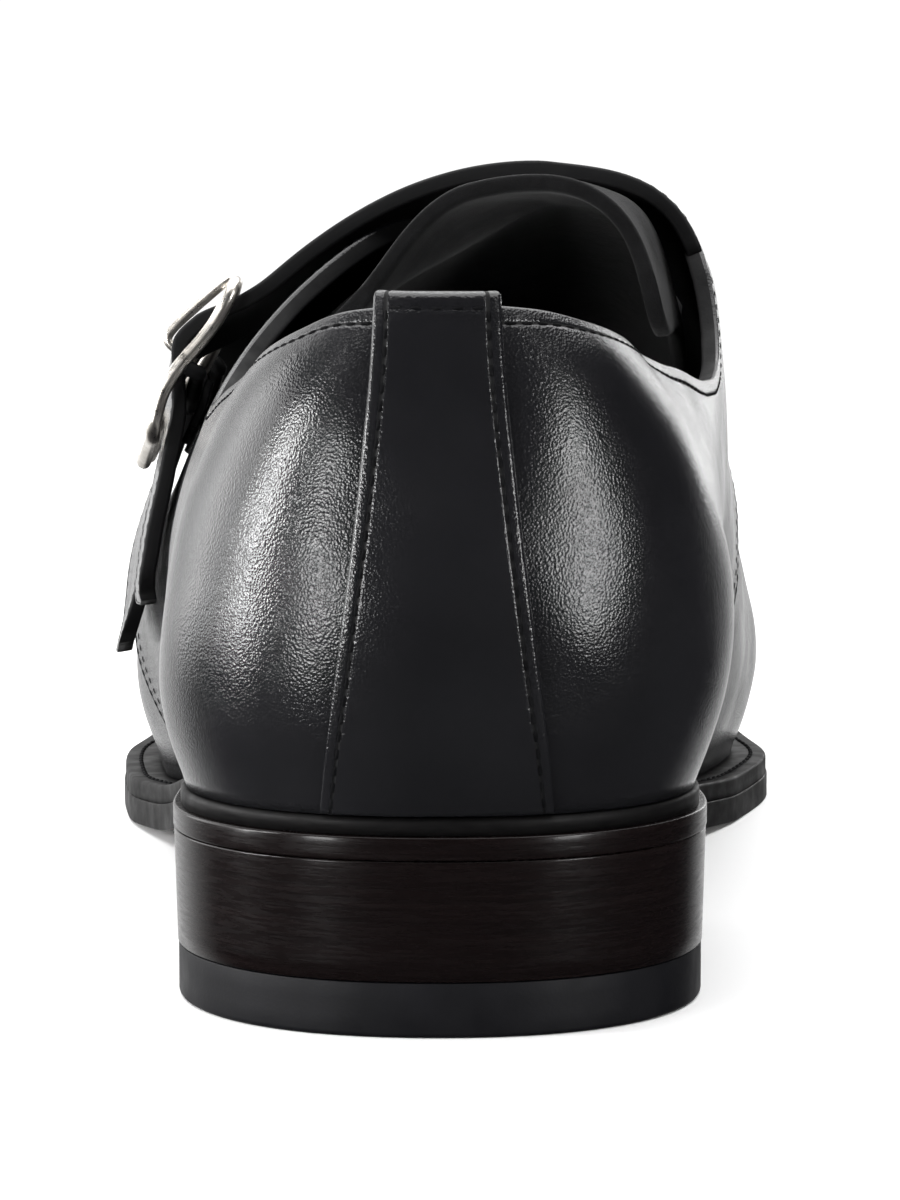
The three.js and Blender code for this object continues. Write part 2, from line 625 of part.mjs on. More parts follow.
// The welt runs round the whole sole and thins to a rand at the heel.
function makeWelt() {
  const stations = soleStations;
  const loop = [
    ...stations.map((along) => ({ along, side: -1 })),
    ...stations.slice(1, -1).reverse().map((along) => ({ along, side: 1 })),
  ];
  const bevel = 0.5;
  const recess = (along) => lerp(0.9, 0.2, smoothstep(along, 10, 50));
  const corners = [
    { out: false, z: (y) => outsoleTop(y) + GAP, inset: 0 },
    { out: true, z: (y) => outsoleTop(y) + GAP, inset: 0 },
    { out: true, z: (y) => weltTop(y) - bevel, inset: 0 },
    { out: true, z: weltTop, inset: bevel },
    { out: false, z: weltTop, inset: 0 },
  ];
  const points = [];
  loop.forEach(({ along, side }) => {
    corners.forEach(({ out, z, inset }) => {
      const distance = out ? reachAt(along) - recess(along) - inset : -WELT_INWARD;
      const flat = outlinePoint(along, side, distance);
      points.push(new THREE.Vector3(flat.x, flat.y, z(flat.y)));
    });
  });
  const faces = [];
  const count = loop.length;
  const size = corners.length;
  for (let i = 0; i < count; i += 1) {
    for (let k = 0; k < size; k += 1) {
      const a = i * size + k;
      const b = i * size + ((k + 1) % size);
      const c = ((i + 1) % count) * size + ((k + 1) % size);
      const d = ((i + 1) % count) * size + k;
      faces.push(a, b, c, a, c, d);
    }
  }
  return outwardFacing(solidFrom(points, faces));
}

// Backstay: half widths of the heel strip from the seat to the top.
const BACKSTAY_HALF = [
  { z: 25, half: 13.9 }, { z: 45, half: 11 }, { z: 62, half: 8.8 }, { z: 76, half: 7.4 },
  { z: 86, half: 6.9 },
];
const backstayHalf = curve(BACKSTAY_HALF, 'z', 'half');

function makeBackstay() {
  const rows = 15;
  const columns = 9;
  const low = footZ(0) + 0.2;
  const high = COLLAR_LATERAL[0].z + BACKSTAY_STANDS;
  const place = (i, j, level) => {
    const z = lerp(low, high, i / (rows - 1));
    const across = lerp(-1, 1, j / (columns - 1));
    const side = across < 0 ? -1 : 1;
    const part = heelSection[side];
    const turn = turnAt(part, z);
    const depth = HEEL_PIVOT_Y - backCurve(z);
    const angle = THREE.MathUtils.radToDeg(Math.atan2(Math.abs(across) * backstayHalf(z), depth - 1));
    return skin(Math.max(angle - 90, -90), side * (1 - turn), level);
  };
  const outer = GAP + BACKSTAY_THICKNESS;
  return sheet(rows, columns, (i, j) => place(i, j, outer), (i, j) => place(i, j, GAP));
}

// Tongue: free end behind the straps, front end under the vamp. lateral and medial are the girths of
// its edges, crest the girth where it is highest, ridge and side its levels there and at the edges.
const TONGUE_ROWS = [
  { y: 90.5, lateral: -0.26, medial: 0.36, crest: -0.03, ridge: 0, side: -6.0 },
  { y: 93, lateral: -0.35, medial: 0.46, crest: -0.02, ridge: -0.4, side: -6.3 },
  { y: 97, lateral: -0.39, medial: 0.49, crest: 0.02, ridge: -0.9, side: -6.3 },
  { y: 104, lateral: -0.41, medial: 0.5, crest: 0.1, ridge: -1.9, side: -6.1 },
  { y: 115, lateral: -0.42, medial: 0.5, crest: 0.12, ridge: -2.2, side: -5.2 },
  { y: 135, lateral: -0.42, medial: 0.48, crest: 0.12, ridge: -2.6, side: -4.4 },
  { y: 146, lateral: -0.38, medial: 0.44, crest: 0.12, ridge: -3.7, side: -4.0 },
  { y: 168, lateral: -0.26, medial: 0.3, crest: 0.12, ridge: -3.8, side: -3.8 },
];
const tongueCurves = Object.fromEntries(
  ['lateral', 'medial', 'crest', 'ridge', 'side'].map((name) => [name, curve(TONGUE_ROWS, 'y', name)]),
);

function tongueLevel(y, girth) {
  const from = girth - tongueCurves.crest(y);
  const spread = from < 0 ? 0.26 : lerp(0.48, 0.32, smoothstep(y, 90.5, 102));
  const away = smoothstep(Math.abs(from), 0.05, spread);
  return lerp(tongueCurves.ridge(y), tongueCurves.side(y), away);
}

function makeTongue() {
  const rows = 17;
  const columns = 19;
  const place = (i, j, drop) => {
    const y = lerp(TONGUE_ROWS[0].y, TONGUE_ROWS.at(-1).y, (i / (rows - 1)) ** 1.3);
    const share = lerp(-1, 1, j / (columns - 1));
    const girth = share < 0 ? -share * tongueCurves.lateral(y) : share * tongueCurves.medial(y);
    return skin(y - HEEL_PIVOT_Y, girth, tongueLevel(y, girth) - drop);
  };
  return sheet(rows, columns, (i, j) => place(i, j, 0), (i, j) => place(i, j, TONGUE_THICKNESS));
}

// How much of the lift at its rear edge a strap has across its width: past the instep it is twisted,
// so that the rear edge stands off more than the front one.
function twist(girth, across) {
  return 1 - STRAP_TWIST * across * smoothstep(-girth, 0.16, 0.3);
}

// A strap as a smooth band: share 0 is its root and 1 its tip.
function strapBand(rows) {
  const indexed = rows.map((row, i) => ({ ...row, share: i / (rows.length - 1) }));
  const of = Object.fromEntries(
    ['girth', 'lift', 'rear', 'front'].map((name) => [name, curve(indexed, 'share', name)]),
  );
  return (share, across, level) => {
    const y = lerp(of.rear(share), of.front(share), across);
    const girth = of.girth(share);
    return skin(y - HEEL_PIVOT_Y, girth, of.lift(share) * twist(girth, across) + level);
  };
}

function makeStrap(rows) {
  const band = strapBand(rows);
  const lengthRows = 37;
  const columns = 5;
  const share = (i) => lerp(0, 1, i / (lengthRows - 1));
  return sheet(
    lengthRows,
    columns,
    (i, j) => band(share(i), j / (columns - 1), STRAP_THICKNESS),
    (i, j) => band(share(i), j / (columns - 1), 0),
  );
}

// A round bar that follows a closed or open line of points.
function bar(line, radius, closed, sides = FRAME_SIDES) {
  const count = line.length;
  const points = [];
  const faces = [];
  const neighbour = (i) => (closed ? (i + count) % count : clamp(i, 0, count - 1));
  let up = new THREE.Vector3(0, 0, 1);
  const centre = line.reduce((sum, p) => sum.add(p), new THREE.Vector3()).divideScalar(count);
  line.forEach((point, i) => {
    const tangent = line[neighbour(i + 1)].clone().sub(line[neighbour(i - 1)]).normalize();
    if (closed) up = point.clone().sub(centre);
    const sideways = tangent.clone().cross(up).normalize();
    const upright = sideways.clone().cross(tangent).normalize();
    for (let k = 0; k < sides; k += 1) {
      const angle = (2 * Math.PI * (k + 0.5)) / sides;
      points.push(point.clone()
        .addScaledVector(sideways, radius * Math.cos(angle))
        .addScaledVector(upright, radius * Math.sin(angle)));
    }
  });
  const at = (i, k) => neighbour(i) * sides + (k % sides);
  for (let i = 0; i < (closed ? count : count - 1); i += 1) {
    for (let k = 0; k < sides; k += 1) {
      faces.push(at(i, k), at(i + 1, k), at(i + 1, k + 1), at(i, k), at(i + 1, k + 1), at(i, k + 1));
    }
  }
  if (!closed) {
    for (let k = 1; k < sides - 1; k += 1) {
      faces.push(at(0, 0), at(0, k), at(0, k + 1));
      faces.push(at(count - 1, 0), at(count - 1, k + 1), at(count - 1, k));
    }
  }
  return outwardFacing(solidFrom(points, faces));
}

function curveOfStrap(rows, name) {
  const sorted = rows.map((row) => ({ ...row, key: -row.girth }));
  return curve(sorted, 'key', name);
}

// The centre of a buckle frame at a girth: over the strap at both ends and beside it between them,
// where its sides swing in below the upper end and out past the bar. It leans as the strap is twisted.
function frameLevel(buckle, girth, across) {
  const ends = [buckle.topGirth, buckle.endGirth].map(
    (g) => liftOf(buckle, g, across) + STRAP_THICKNESS + FRAME_END_CLEARANCE + FRAME_RADIUS,
  );
  const share = (girth - buckle.topGirth) / (buckle.endGirth - buckle.topGirth);
  const lean = FRAME_LEAN * across * Math.sin(Math.PI * share);
  return lerp(ends[0], ends[1], share) - FRAME_SWING * Math.sin(2 * Math.PI * share) - lean;
}

function liftOf(buckle, girth, across) {
  return curveOfStrap(buckle.strap, 'lift')(-girth) * twist(girth, across);
}

function frameEdges(buckle, girth) {
  const rear = curveOfStrap(buckle.strap, 'rear')(-girth) - FRAME_CLEARANCE;
  const front = curveOfStrap(buckle.strap, 'front')(-girth) + FRAME_CLEARANCE;
  return { rear, front };
}

function makeBuckle(buckle) {
  const corner = 0.12;
  const reachGirth = buckle.endGirth - buckle.topGirth;
  const point = (girthShare, across) => {
    const girth = buckle.topGirth + reachGirth * girthShare;
    const { rear, front } = frameEdges(buckle, girth);
    return skin(lerp(rear, front, across) - HEEL_PIVOT_Y, girth, frameLevel(buckle, girth, across));
  };
  const line = [];
  const side = range(7, corner, 1 - corner);
  const end = range(5, corner, 1 - corner);
  const turns = [0.29, 0.71].map((t) => t * corner);
  const turnsBack = [...turns].reverse();
  const rise = (t) => Math.sqrt(2 * t * corner - t * t);
  side.forEach((share) => line.push(point(share, 0)));
  turns.forEach((t) => line.push(point(1 - corner + rise(t), t)));
  end.forEach((across) => line.push(point(1, across)));
  turnsBack.forEach((t) => line.push(point(1 - corner + rise(t), 1 - t)));
  [...side].reverse().forEach((share) => line.push(point(share, 1)));
  turns.forEach((t) => line.push(point(corner - rise(t), 1 - t)));
  [...end].reverse().forEach((across) => line.push(point(0, across)));
  turnsBack.forEach((t) => line.push(point(corner - rise(t), t)));
  const frame = toManifold(bar(line, FRAME_RADIUS, true));
  const crossBar = toManifold(bar(barLine(buckle), BAR_RADIUS, false));
  return fromManifold(frame.add(crossBar));
}

// The centre bar dips under the strap between the frame's two sides.
function barLine(buckle) {
  const girth = buckle.barGirth;
  const { rear, front } = frameEdges(buckle, girth);
  return [0, 0.012, 0.035, 0.12, 0.5, 0.88, 0.965, 0.988, 1].map((across) => {
    const dip = smoothstep(Math.min(across, 1 - across), 0, 0.035);
    const under = liftOf(buckle, girth, across) - BAR_DROP;
    const level = lerp(frameLevel(buckle, girth, across), under, dip);
    return skin(lerp(rear, front, across) - HEEL_PIVOT_Y, girth, level);
  });
}

const PRONG_SLOT_GIRTH = 0.02;
const prongHole = (buckle) => buckle.barGirth + PRONG_SLOT_GIRTH;

// The prong rises from the bar through the strap's hole and rests on the frame's upper end.
function prongLine(buckle) {
  const { rear, front } = frameEdges(buckle, buckle.barGirth);
  const y = (rear + front) / 2 - HEEL_PIVOT_Y;
  const lift = (girth) => liftOf(buckle, girth, 0.5);
  const over = STRAP_THICKNESS + GAP + PRONG_RADIUS;
  const hole = prongHole(buckle);
  const under = lift(buckle.barGirth) - GAP;
  const endLevel = frameLevel(buckle, buckle.topGirth, 0.5) + FRAME_RADIUS + PRONG_RADIUS + GAP;
  return [
    skin(y, hole, under),
    skin(y, hole, under + 1.6),
    skin(y, hole + 0.002, lift(hole) + over),
    skin(y, hole + 0.015, lift(hole) + over + 0.6),
    skin(y, lerp(hole, buckle.topGirth, 0.6), lerp(lift(hole) + over + 0.8, endLevel, 0.6)),
    skin(y, buckle.topGirth, endLevel),
    skin(y, buckle.topGirth + 0.012, endLevel - 0.2),
  ];
}

function makeProng(buckle) {
  return bar(prongLine(buckle), PRONG_RADIUS, false);
}

function cutProngHole(strap, buckle) {
  const [low, middle, high] = prongLine(buckle);
  const axis = high.clone().sub(low).normalize();
  const line = [low.clone().addScaledVector(axis, -2), middle, high.clone().addScaledVector(axis, 2)];
  const hole = bar(line, PRONG_RADIUS + GAP + 0.25, false);
  return fromManifold(toManifold(strap).subtract(toManifold(hole)));
}

// The tab is a leather tongue on the lateral quarter that holds the buckle's bar.
function makeTab(buckle) {
  const rows = 9;
  const columns = 3;
  const { rear, front } = frameEdges(buckle, buckle.barGirth);
  const inset = 5;
  const low = buckle.barGirth - TAB_GIRTH;
  const place = (i, j, level) => {
    const share = i / (rows - 1);
    const girth = lerp(low, buckle.barGirth + 0.002, share);
    const y = lerp(rear + inset, front - inset, j / (columns - 1));
    const across = (y - rear) / (front - rear);
    const barLevel = liftOf(buckle, buckle.barGirth, across) - BAR_DROP - BAR_RADIUS;
    const raise = smoothstep(share, 0.35, 1) * Math.max(barLevel - TAB_THICKNESS - 2.5 * GAP, 0);
    return skin(y - HEEL_PIVOT_Y, girth, GAP + raise + level);
  };
  return sheet(rows, columns, (i, j) => place(i, j, TAB_THICKNESS), (i, j) => place(i, j, 0));
}

const shoe = new THREE.Group();

function addPiece(name, geometry, look) {
  const bare = geometry.clone();
  bare.computeVertexNormals();
  const mesh = new THREE.Mesh(bare, new THREE.MeshStandardMaterial(COLORS[look]));
  mesh.name = name;
  shoe.add(mesh);
}

addPiece('top_lift', makeTopLift(), 'rubber');
addPiece('heel_stack', makeHeelStack(), 'stack');
addPiece('outsole', makeOutsole(), 'edge');
addPiece('welt', makeWelt(), 'edge');
addPiece('insole', makeInsole(), 'lining');
addPiece('upper', makeUpper(), 'calf');
addPiece('backstay', makeBackstay(), 'calf');
addPiece('tongue', makeTongue(), 'suede');
BUCKLES.forEach((buckle) => {
  addPiece(`strap_${buckle.name}`, cutProngHole(makeStrap(buckle.strap), buckle), 'calf');
  addPiece(`buckle_${buckle.name}`, makeBuckle(buckle), 'nickel');
  addPiece(`prong_${buckle.name}`, makeProng(buckle), 'nickel');
  addPiece(`tab_${buckle.name}`, makeTab(buckle), 'calf');
});

// The origin is the middle of the footprint, on the floor.
const box = new THREE.Box3().setFromObject(shoe);
shoe.position.set(-(box.min.x + box.max.x) / 2, -(box.min.y + box.max.y) / 2, -box.min.z);

export default shoe;
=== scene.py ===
import math

import bmesh
import bpy
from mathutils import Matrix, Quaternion, Vector
import numpy as np


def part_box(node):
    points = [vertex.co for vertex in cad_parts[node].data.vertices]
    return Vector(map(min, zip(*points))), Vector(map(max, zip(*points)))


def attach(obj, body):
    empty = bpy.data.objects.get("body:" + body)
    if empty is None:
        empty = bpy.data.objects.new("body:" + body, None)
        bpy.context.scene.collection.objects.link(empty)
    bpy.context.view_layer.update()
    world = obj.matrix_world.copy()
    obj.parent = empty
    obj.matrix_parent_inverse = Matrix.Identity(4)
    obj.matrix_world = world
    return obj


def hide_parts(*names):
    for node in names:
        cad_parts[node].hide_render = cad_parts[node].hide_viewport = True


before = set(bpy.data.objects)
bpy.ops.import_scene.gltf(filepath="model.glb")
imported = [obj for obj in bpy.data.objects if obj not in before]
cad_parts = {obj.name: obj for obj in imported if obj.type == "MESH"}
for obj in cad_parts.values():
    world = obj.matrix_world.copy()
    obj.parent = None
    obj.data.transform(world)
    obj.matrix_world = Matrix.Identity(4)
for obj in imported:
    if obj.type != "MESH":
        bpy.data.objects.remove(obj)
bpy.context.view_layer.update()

# Sizes are in millimetres in the last's own frame: y = 0 at the back of the heel, x = 0 at its middle.
GAP = 0.3
HEEL_PIVOT_Y = 35.0
TOE_START_Y = 232.0
TOE_TIP_Y = 293.0
TOE_TIP_X = 9.0
TOE_ROUNDNESS = 2.15
HEEL_ROUNDNESS_LOW = 2.2
HEEL_ROUNDNESS_COLLAR = 2.7
FOOT_TURN = 0.3
TUCK_POWER = 1.8
LIFT_HEIGHT = 6.3
HEEL_BREAST_Y = 62.0
HEEL_BREAST_HOLLOW = 3.0
HEEL_TAPER = 0.6
SEAT_THICKNESS = 2.7
OUTSOLE_THICKNESS = 4.0
RAND_THICKNESS = 1.7
WELT_THICKNESS = 2.6
WELT_INWARD = 7.0
INSOLE_THICKNESS = 2.5
QUARTER_WALL = 2.4
VAMP_DROP = 1.3
VAMP_WALL = 2.0
THROAT_Y = 150.0
STRAP_THICKNESS = 2.3
TONGUE_THICKNESS = 2.4
BACKSTAY_LEVEL = 1.35
BACKSTAY_TOP = 84.2
FRAME_RADIUS = 1.0
BAR_RADIUS = 0.85
SLEEVE_RADIUS = 1.1
FRAME_CLEARANCE = 1.6
FRAME_SWING = 0.9
FRAME_LEAN = 1.0
STRAP_TWIST = 0.16
FRAME_END_CLEARANCE = 0.8
BAR_DROP = 1.9
PRONG_RADIUS = 0.65
TAB_GIRTH = 0.055
TAB_THICKNESS = 1.2
STITCH_PITCH = 2.05
STITCH_LENGTH = 1.55
STITCH_RADIUS = 0.18
STITCH_SINK = 0.16
STITCH_BREADTH = 1.15
STITCH_SIDES = 8
STITCH_RINGS = 7
STITCH_LEVEL = -0.08
COLLAR_STITCH_LEVEL = -0.06
EDGE_ROWS_APART = 2.6
WELT_CORNER = 0.55
WELT_STITCH = 2.5
WELT_STITCHES = {"pitch": 2.9, "length": 2.3, "radius": 0.3}
FEATHER_DROP = 0.3
INSOLE_CLEARANCE = 0.15
HEEL_HALF_WIDTH = 31.0
BREAST_ROWS = ((-1, 1.0), (-2, 0.8), (-3, 0.5))
HEEL_SEAM = 0.12
BAR_SIDES = 16

# A place along the last is y past the pivot, or degrees round the heel cup where it is below zero.
THROAT_ALONG = THROAT_Y - HEEL_PIVOT_Y
TOE_START = TOE_START_Y - HEEL_PIVOT_Y
TIP_ALONG = TOE_TIP_Y - HEEL_PIVOT_Y
HEEL_BACK = -90.0
ALONG_STEP = 0.3
TURN_STEP = 0.002
TINY = 1e-6
METRE = 0.001
FAR = 9.0


# Smooth tables
def curve(xs, ys, flat_start=False):
    """A smooth curve through a table's rows that never overshoots them."""
    x = np.array(xs, float)
    y = np.array(ys, float)
    h = np.diff(x)
    slope = np.diff(y) / h
    tangent = np.zeros_like(y)
    tangent[0] = 0.0 if flat_start else slope[0]
    tangent[-1] = slope[-1]
    for i in range(1, len(x) - 1):
        before, after = slope[i - 1], slope[i]
        if before * after > 0:
            a = 2 * h[i] + h[i - 1]
            b = h[i] + 2 * h[i - 1]
            tangent[i] = (a + b) / (a / before + b / after)

    def at(value):
        value = np.asarray(value, float)
        i = np.clip(np.searchsorted(x, value, side="right") - 1, 0, len(h) - 1)
        t = np.clip((value - x[i]) / h[i], 0, 1)
        t2, t3 = t * t, t * t * t
        return ((2 * t3 - 3 * t2 + 1) * y[i] + (t3 - 2 * t2 + t) * h[i] * tangent[i]
                + (3 * t2 - 2 * t3) * y[i + 1] + (t3 - t2) * h[i] * tangent[i + 1])

    return at


def table(columns, rows, places=None, flat_start=False):
    """Curves for each column of a table of rows, over its first column or over given places."""
    places = [row[0] for row in rows] if places is None else places
    return {name: curve(places, [row[k] for row in rows], flat_start) for k, name in enumerate(columns)}


def smooth(value, low, high):
    t = np.clip((np.asarray(value, float) - low) / (high - low), 0, 1)
    return t * t * (3 - 2 * t)


def mix(a, b, t):
    return a + (b - a) * t

def unit(vectors):
    return vectors / np.maximum(np.linalg.norm(vectors, axis=-1, keepdims=True), 1e-12)


SECTION_COLUMNS = ("y", "foot_lat", "foot_med", "bulge_lat", "bulge_med", "rise_lat", "rise_med",
                   "crown_x", "crown_z", "power_lat", "power_med")
SECTIONS = (
    (35, 30.4, 30.8, 33.4, 35.4, 38.5, 43, 1.0, 88, 2.0, 2.0),
    (70, 29.5, 27.5, 35.6, 37.0, 40, 47, 7.5, 98, 1.95, 2.2),
    (107, 31.0, 25.5, 38.0, 39.6, 45, 60, 14.5, 99.6, 1.8, 3.3),
    (140, 36.0, 31.5, 43.0, 43.5, 37, 44, 11.5, 85.5, 2.0, 2.6),
    (172, 44.5, 42.5, 49.0, 49.3, 26, 29, 8.5, 71.5, 2.15, 2.3),
    (203, 47.3, 49.0, 50.6, 53.0, 21.5, 22, 6.0, 59.5, 2.2, 2.2),
    (232, 43.0, 45.5, 46.2, 48.8, 21, 21, 5.0, 49.5, 2.3, 2.3),
    (262, 37.0, 42.5, 40.0, 45.5, 23.5, 23.5, 7.0, 43.5, 2.35, 2.35),
    (293, 30.0, 39.0, 33.0, 42.0, 28, 28, 9.0, 41, 2.4, 2.4),
)
section_of = table(SECTION_COLUMNS, SECTIONS, flat_start=True)
sole_line = curve((-5, 45, 64, 95, 125, 152, 178, 212, 235, 262, 300),
                  (20.3, 20.3, 19.2, 13.2, 6.2, 1.4, 0, 0, 1.3, 4.8, 12))
back_curve = curve((22, 34, 48, 66, 88), (4.4, 1.3, 0, 1.9, 7))
sole_reach = curve((0, 60, 95, 150, 293), (1.5, 1.6, 3, 4.6, 5))


def outsole_top(y):
    return sole_line(y) + mix(SEAT_THICKNESS, OUTSOLE_THICKNESS, smooth(y, 60, 120))


def welt_top(y):
    return outsole_top(y) + GAP + mix(RAND_THICKNESS, WELT_THICKNESS, smooth(y, 50, 100))


def foot_z(y):
    return welt_top(y) + 1.5 * GAP


def toe_closing(y):
    reach = np.clip((y - TOE_START_Y) / (TOE_TIP_Y - TOE_START_Y), 0, 1)
    return np.maximum(1 - reach ** TOE_ROUNDNESS, 0) ** (1 / TOE_ROUNDNESS)


def section(y, side):
    """The half section of the last at y, on side -1 (lateral) or +1 (medial)."""
    lateral = side < 0

    def of(name):
        return np.where(lateral, section_of[name + "_lat"](y), section_of[name + "_med"](y))

    closing = toe_closing(y)
    crown_x = section_of["crown_x"](y)
    centre = mix(crown_x, TOE_TIP_X, smooth(y, TOE_START_Y, TOE_TIP_Y))
    bulge_z = of("rise")
    return {
        "foot_x": centre + (side * of("foot") - centre) * closing,
        "foot_z": foot_z(y),
        "bulge_x": centre + (side * of("bulge") - centre) * closing,
        "bulge_z": bulge_z,
        "crown_x": centre + (crown_x - centre) * closing,
        "crown_z": bulge_z + (section_of["crown_z"](y) - bulge_z) * closing,
        "power": of("power"),
    }


def profile(part, turn):
    """A point of a half section: turn 0 is the feather edge, FOOT_TURN the bulge, 1 the ridge."""
    rise = np.clip(turn / FOOT_TURN, None, 1)
    tuck = np.maximum(1 - rise, 0) ** TUCK_POWER
    low_x = part["bulge_x"] - (part["bulge_x"] - part["foot_x"]) * tuck
    low_z = mix(part["foot_z"], part["bulge_z"], rise)
    angle = np.clip((turn - FOOT_TURN) / (1 - FOOT_TURN), 0, 1) * math.pi / 2
    cos = np.maximum(np.cos(angle), 0)
    sin = np.sin(angle)
    power = part["power"]
    reach = (cos ** power + sin ** power) ** (-1 / power)
    high_x = part["crown_x"] + (part["bulge_x"] - part["crown_x"]) * cos * reach
    high_z = part["bulge_z"] + (part["crown_z"] - part["bulge_z"]) * sin * reach
    low = turn < FOOT_TURN
    return np.where(low, low_x, high_x), np.where(low, low_z, high_z)


def turn_at(part, z):
    """The turn at which a half section reaches height z."""
    low = FOOT_TURN * (z - part["foot_z"]) / (part["bulge_z"] - part["foot_z"])
    rise = np.clip((z - part["bulge_z"]) / (part["crown_z"] - part["bulge_z"]), 0, 1)
    run = np.maximum(1 - rise ** part["power"], 0) ** (1 / part["power"])
    high = FOOT_TURN + (1 - FOOT_TURN) * np.arctan2(rise, run) / (math.pi / 2)
    return np.where(z < part["bulge_z"], low, high)


def part_at(along, side):
    """The half section used at a place along the shoe; the heel cup turns the one at the pivot."""
    y = HEEL_PIVOT_Y + np.maximum(along, 0)
    return section(y, side)


def grids(*values):
    return np.broadcast_arrays(*(np.asarray(value, float) for value in values))


def base(along, side, turn):
    """The outer face of the quarters and, carried on, of the whole last."""
    along, side, turn = grids(along, side, turn)
    x, z = profile(part_at(along, side), turn)
    forward = np.stack([x, HEEL_PIVOT_Y + along, z], -1)
    angle = np.radians(np.clip(along - HEEL_BACK, 0, 90))
    sin, cos = np.sin(angle), np.cos(angle)
    depth = HEEL_PIVOT_Y - back_curve(z)
    power = mix(HEEL_ROUNDNESS_LOW, HEEL_ROUNDNESS_COLLAR, smooth(z, 50, 84))
    width = np.maximum(np.abs(x), TINY)
    reach = ((sin / width) ** power + (np.maximum(cos, 0) / depth) ** power) ** (-1 / power)
    round_heel = np.stack([side * reach * sin, HEEL_PIVOT_Y - reach * cos, z], -1)
    return np.where((along < 0)[..., None], round_heel, forward)


def run_along(along, side, turn):
    """The way along the last at a place, from a point just before it to one just after it."""
    return (base(np.minimum(along + ALONG_STEP, TIP_ALONG), side, turn)
            - base(np.maximum(along - ALONG_STEP, HEEL_BACK), side, turn))


def outward(along, side, turn):
    """The last's normal."""
    along, side, turn = grids(along, side, turn)
    climb = (base(along, side, np.minimum(turn + TURN_STEP, 1))
             - base(along, side, np.maximum(turn - TURN_STEP, 0)))
    zero = np.zeros_like(side)
    climb = np.where((turn > 0.9999)[..., None], np.stack([-side, zero, zero], -1), climb)
    normal = np.cross(run_along(along, side, turn), climb) * side[..., None]
    normal[..., 0] = np.where(along < HEEL_BACK + 0.01, 0, normal[..., 0])
    tip = np.stack([zero, zero + 1, zero], -1)
    return np.where((along > TIP_ALONG - 0.01)[..., None], tip, unit(normal))


def skin(along, girth, level):
    """A point at a level over the last: girth runs from -1 (lateral feather) over 0 (ridge) to +1."""
    along, girth, level = grids(along, girth, level)
    side = np.where(girth < 0, -1.0, 1.0)
    turn = 1 - np.abs(girth)
    return base(along, side, turn) + outward(along, side, turn) * level[..., None]


def skin_normal(along, girth):
    girth = np.asarray(girth, float)
    return outward(along, np.where(girth < 0, -1.0, 1.0), 1 - np.abs(girth))


def outline_point(along, side, distance):
    """A point of the feather line's plan, moved outward by a distance."""
    along, side = grids(along, side)
    run = run_along(along, side, 0.0)
    normal = unit(np.stack([run[..., 1], -run[..., 0]], -1) * side[..., None])
    normal = np.where((along < HEEL_BACK + 0.01)[..., None], (0, -1), normal)
    normal = np.where((along > TIP_ALONG - 0.01)[..., None], (0, 1), normal)
    return base(along, side, 0.0)[..., :2] + normal * np.asarray(distance)[..., None]


def reach_at(along):
    """How far the sole reaches past the feather line."""
    return sole_reach(np.maximum(HEEL_PIVOT_Y + np.asarray(along, float), 0))


def toe_along(degrees):
    """Places that go evenly round the toe."""
    sin = np.sin(np.radians(degrees))
    cos = np.maximum(np.cos(np.radians(degrees)), 0)
    reach = (sin ** TOE_ROUNDNESS + cos ** TOE_ROUNDNESS) ** (-1 / TOE_ROUNDNESS)
    return TOE_START + (TOE_TIP_Y - TOE_START_Y) * np.minimum(sin * reach, 1)


# Where the last's frame lies in the shoe's frame: the sole's outline fills the outsole's box.
sole_low, sole_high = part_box("outsole")
ends = np.array([HEEL_BACK, TIP_ALONG])
widest = np.linspace(120, 200, 161)
back_y, toe_y = outline_point(ends, 1, reach_at(ends))[:, 1]
lateral_x = outline_point(widest, -1, reach_at(widest))[:, 0].min()
medial_x = outline_point(widest, 1, reach_at(widest))[:, 0].max()
ORIGIN = np.array([
    ((sole_low[0] + sole_high[0]) / METRE - lateral_x - medial_x) / 2,
    ((sole_low[1] + sole_high[1]) / METRE - back_y - toe_y) / 2,
    0.0,
])


def metres(points):
    return (np.asarray(points, float) + ORIGIN) * METRE


# Mesh helpers
def new_object(name, points, faces, materials, face_slots=None, weld=1e-6):
    mesh = bpy.data.meshes.new(name)
    mesh.from_pydata(metres(points).reshape(-1, 3).tolist(), [], faces)
    for material in materials:
        mesh.materials.append(material)
    if face_slots is not None:
        mesh.polygons.foreach_set("material_index", face_slots.tolist())
    obj = bpy.data.objects.new(name, mesh)
    bpy.context.scene.collection.objects.link(obj)
    bm = bmesh.new()
    bm.from_mesh(mesh)
    bmesh.ops.remove_doubles(bm, verts=bm.verts, dist=weld)
    bmesh.ops.dissolve_degenerate(bm, edges=bm.edges, dist=1e-8)
    bmesh.ops.recalc_face_normals(bm, faces=bm.faces)
    bm.to_mesh(mesh)
    bm.free()
    mesh.polygons.foreach_set("use_smooth", [True] * len(mesh.polygons))
    mesh.update()
    return obj


